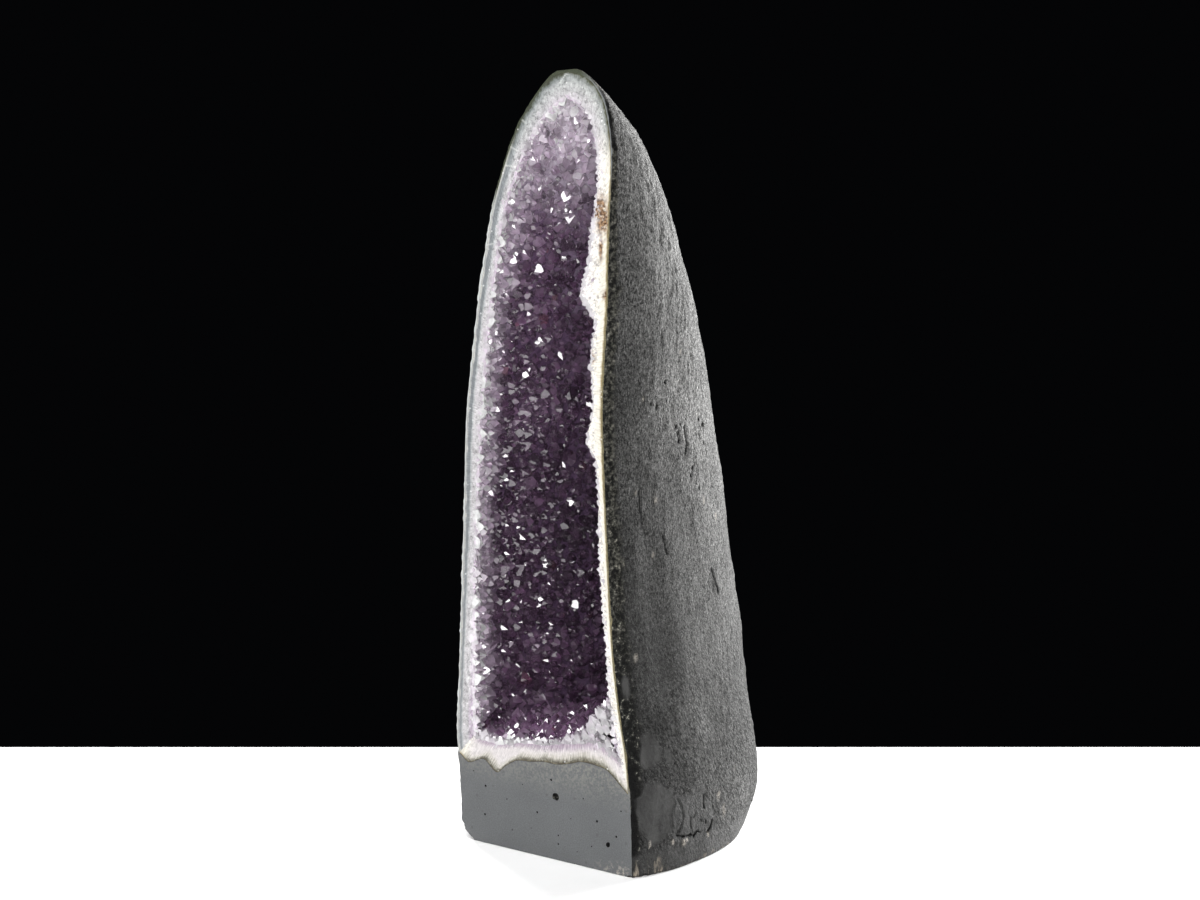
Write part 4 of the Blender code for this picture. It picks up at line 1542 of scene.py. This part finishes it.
def scatter_points(pile, spacing, own, chance, tries, tilt, radius_share, sink):
    places, inwards = hollow_samples(tries, chance, 4 * MM)
    high = smooth_step(places[:, 2], 0.5, 0.67)
    large = np.exp(-(((places[:, 2] - 0.603) / 0.035) ** 2))
    large *= smooth_step(places[:, 0], -30 * MM, 15 * MM)
    distances = spacing * (1 - 0.25 * high + 0.6 * large)
    distances = distances * chance.uniform(0.78, 1.45, len(places))
    kept = keep_apart(places, distances)
    places, inwards, distances = places[kept], inwards[kept], distances[kept]
    axes = unit(inwards + tilt * chance.normal(size=places.shape))
    turnings = frames_along(axes, chance.uniform(0, math.tau, len(places)))
    tints = point_tints(places, own, chance)
    clear = np.array(own.clear_color[:3])
    paleness = np.clip(tints.mean(1) / 0.6, 0.1, 1)[:, None]
    roots = tints * (1 - 0.55 * paleness) + clear * 0.55 * paleness
    cuts = FRONT_Y + chance.uniform(0.3, 1.3, len(places)) * MM
    near_right = smooth_step(places[:, 1] - FRONT_Y, 12 * MM, 0.0) * (places[:, 0] > 0.03)
    radii = distances * chance.uniform(0.9, 1.15, len(places)) * radius_share
    radii *= 1 - 0.35 * near_right
    for k in range(len(places)):
        place = places[k] - inwards[k] * radii[k] * (sink + 0.5 * near_right[k])
        stretch = chance.uniform(0.85, 1.2)
        pile.add(place, turnings[k], radii[k], stretch, tints[k], roots[k], cuts[k])


class GEODE_OT_points(bpy.types.Operator):
    """Line the hollow with large and small amethyst points"""

    bl_idname = "geode.points"
    bl_label = "Amethyst points"

    def execute(self, context):
        own = settings().crystals
        chance = np.random.default_rng(71)
        forms = make_point_forms(9, chance)
        material = crystal_material()
        for name, spacing, values in (
            ("amethyst_points", own.spacing, LARGE_POINTS),
            ("small_amethyst_points", own.small_spacing, SMALL_POINTS),
        ):
            pile = PointPile(forms, chance)
            scatter_points(pile, spacing, own, chance, *values)
            pile.build(name, material)
        return {"FINISHED"}


class GEODE_OT_rim_points(bpy.types.Operator):
    """Set the sawn-through points along the band's inner edge and the pale corner group"""

    bl_idname = "geode.rim_points"
    bl_label = "Points at the saw cut"

    def execute(self, context):
        own = settings().crystals
        chance = np.random.default_rng(83)
        pile = PointPile(make_point_forms(6, chance), chance)
        pale, clear = np.array(own.pale_color[:3]), np.array(own.clear_color[:3])
        self.edge_row(pile, band_loops(900, 400)[1], pale, clear, chance)
        self.corner_group(pile, pale, clear, chance)
        pile.build("rim_points", bpy.data.materials["amethyst_points"])
        return {"FINISHED"}

    def edge_row(self, pile, inner, pale, clear, chance):
        """Points in the plane of the cut, along the inner edge of the band."""
        length = along_line(inner)
        for row in range(3):
            at = 0.0
            while at < length[-1]:
                (x, z), ahead = line_at(inner, length, at), line_at(inner, length, at + 1 * MM)
                along = unit(np.array([ahead[0] - x, 0, ahead[1] - z]) + 1e-9)
                inwards = np.array([along[2], 0, -along[0]])
                # Size, lean, tip, root and stretch on the floor, the left side and elsewhere.
                if inwards[2] > 0.6:
                    size, lean, tip_share, root_share, stretch = 1.0, 0.3, 0.33, 0.6, 1.5
                elif inwards[0] > 0.5:
                    size, lean, tip_share, root_share, stretch = 1.15, 0.45, 1.0, 1.0, 1.0
                else:
                    size, lean, tip_share, root_share, stretch = 0.95, 0.2, 1.0, 1.0, 1.0
                radius = chance.uniform(2.6, 4.6) * MM * size
                behind = chance.uniform(0.0, 2.5) * MM + row * 3.2 * MM
                axis = unit(inwards + chance.normal(size=3) * lean + (0, -0.15 * row, 0))
                turning = frames_along(axis[None], chance.uniform(0, math.tau, 1))[0]
                tint = pale * chance.uniform(0.7, 1.2) * tip_share
                if inwards[0] < -0.5:
                    tint = clear * 0.7 + pale * 0.3
                sink = radius * chance.uniform(0.45, 0.9)
                place = np.array([x, FRONT_Y + behind, z]) - inwards * sink
                cut_y = FRONT_Y + chance.uniform(0.25, 0.8) * MM
                pile.add(place, turning, radius, stretch, tint, clear * root_share, cut_y)
                at += radius * chance.uniform(0.8, 1.9)

    def corner_group(self, pile, pale, clear, chance):
        """Pale points in the lower right corner of the hollow."""
        for _ in range(CORNER_POINTS):
            x, y = chance.uniform(35, 82), chance.uniform(0, 34)
            z = float(floor_at(HOLLOW_FLOOR, np.array(x * MM))) / MM
            z += chance.uniform(-2, 3) + chance.uniform(0, 38) * smooth_step(x, 38, 72)
            radius = chance.uniform(2.3, 4.3) * MM
            axis = unit(np.array([-0.45, -0.25, 0.9]) + chance.normal(size=3) * 0.34)
            turning = frames_along(axis[None], chance.uniform(0, math.tau, 1))[0]
            share = chance.uniform(0.0, 0.5)
            tint = (pale * (1 - share) + clear * share) * chance.uniform(0.32, 1.05)
            place = np.array([x * MM, FRONT_Y + y * MM, z * MM])
            cut_y = FRONT_Y + chance.uniform(0.3, 0.9) * MM
            pile.add(place, turning, radius, 1.55, tint, clear * 0.6, cut_y)


def add_light(name, place, target, size, power):
    data = bpy.data.lights.new(name, "AREA")
    data.shape = "RECTANGLE"
    data.size, data.size_y = size
    data.energy = power * settings().stage.light_share
    light = bpy.data.objects.new(name, data)
    light.location = place
    light.rotation_euler = (Vector(target) - Vector(place)).to_track_quat("-Z", "Y").to_euler()
    bpy.context.scene.collection.objects.link(light)


class GEODE_OT_stage(bpy.types.Operator):
    """Set the floor, the lights and the camera"""

    bl_idname = "geode.stage"
    bl_label = "Stage"

    def execute(self, context):
        own = settings().stage
        bpy.ops.object.select_all(action="DESELECT")
        bpy.ops.mesh.primitive_plane_add(size=1, location=(0, 0, 0))
        floor = bpy.context.object
        floor.name = "floor"
        toward_back = np.array([-math.sin(CAMERA_TURN), math.cos(CAMERA_TURN), 0])
        sideways = np.array([math.cos(CAMERA_TURN), math.sin(CAMERA_TURN), 0])
        # The floor lies a little below the stone's base and ends behind it, seen by the camera.
        corners = [
            back * toward_back + side * sideways + (0, 0, -0.0004)
            for back, side in ((-3, -3), (-3, 3), (0.26, -3), (0.26, 3))
        ]
        write_points(floor.data, np.array(corners))
        n = Surface("pale_floor")
        low, color = tuple(c * 0.96 for c in own.floor_color[:3]), tuple(own.floor_color)
        tone = n.mix(n.noise(n.place(), 30.0, 4.0), low, color)
        n.link(tone, n.shader.inputs["Base Color"])
        n.set(Roughness=0.55)
        floor.data.materials.append(n.material)
        world = bpy.data.worlds.new("dark_room")
        world.use_nodes = True
        world.node_tree.nodes["Background"].inputs[0].default_value = (0.0014, 0.0015, 0.0018, 1)
        context.scene.world = world
        context.scene.view_settings.view_transform = "Standard"
        for light in LIGHTS:
            add_light(*light)
        data = bpy.data.cameras.new("camera")
        data.lens, data.sensor_width = 60, 36
        camera = bpy.data.objects.new("camera", data)
        camera.location = CAMERA_PLACE
        camera.rotation_euler = (math.pi / 2 - CAMERA_DIP, 0, CAMERA_TURN)
        context.scene.collection.objects.link(camera)
        context.scene.camera = camera
        return {"FINISHED"}


class GEODE_PT_panel(bpy.types.Panel):
    """Lists the pieces and their settings in the sidebar"""

    bl_idname = "GEODE_PT_panel"
    bl_label = "Geode"
    bl_space_type = "VIEW_3D"
    bl_region_type = "UI"
    bl_category = "Geode"

    def draw(self, context):
        for group, operators in GROUPS.items():
            box = self.layout.box()
            own = getattr(settings(), group)
            for name in own.__annotations__:
                box.prop(own, name)
            for operator in operators:
                box.operator(operator.bl_idname)


GROUPS = {
    "stone": (GEODE_OT_stone,),
    "rim": (GEODE_OT_crust_body, GEODE_OT_rim_band),
    "crystals": (GEODE_OT_points, GEODE_OT_rim_points),
    "stage": (GEODE_OT_stage,),
}
OPERATORS = tuple(itertools.chain.from_iterable(GROUPS.values()))
CLASSES = (
    StoneSettings, RimSettings, CrystalSettings, StageSettings, GeodeSettings, *OPERATORS,
    GEODE_PT_panel,
)


def register():
    for item in CLASSES:
        bpy.utils.register_class(item)
    bpy.types.Scene.geode_settings = PointerProperty(type=GeodeSettings)


def unregister():
    del bpy.types.Scene.geode_settings
    for item in reversed(CLASSES):
        bpy.utils.unregister_class(item)


def main():
    register()
    for operator in OPERATORS:
        group, name = operator.bl_idname.split(".")
        getattr(getattr(bpy.ops, group), name)()


if __name__ == "__main__":
    main()
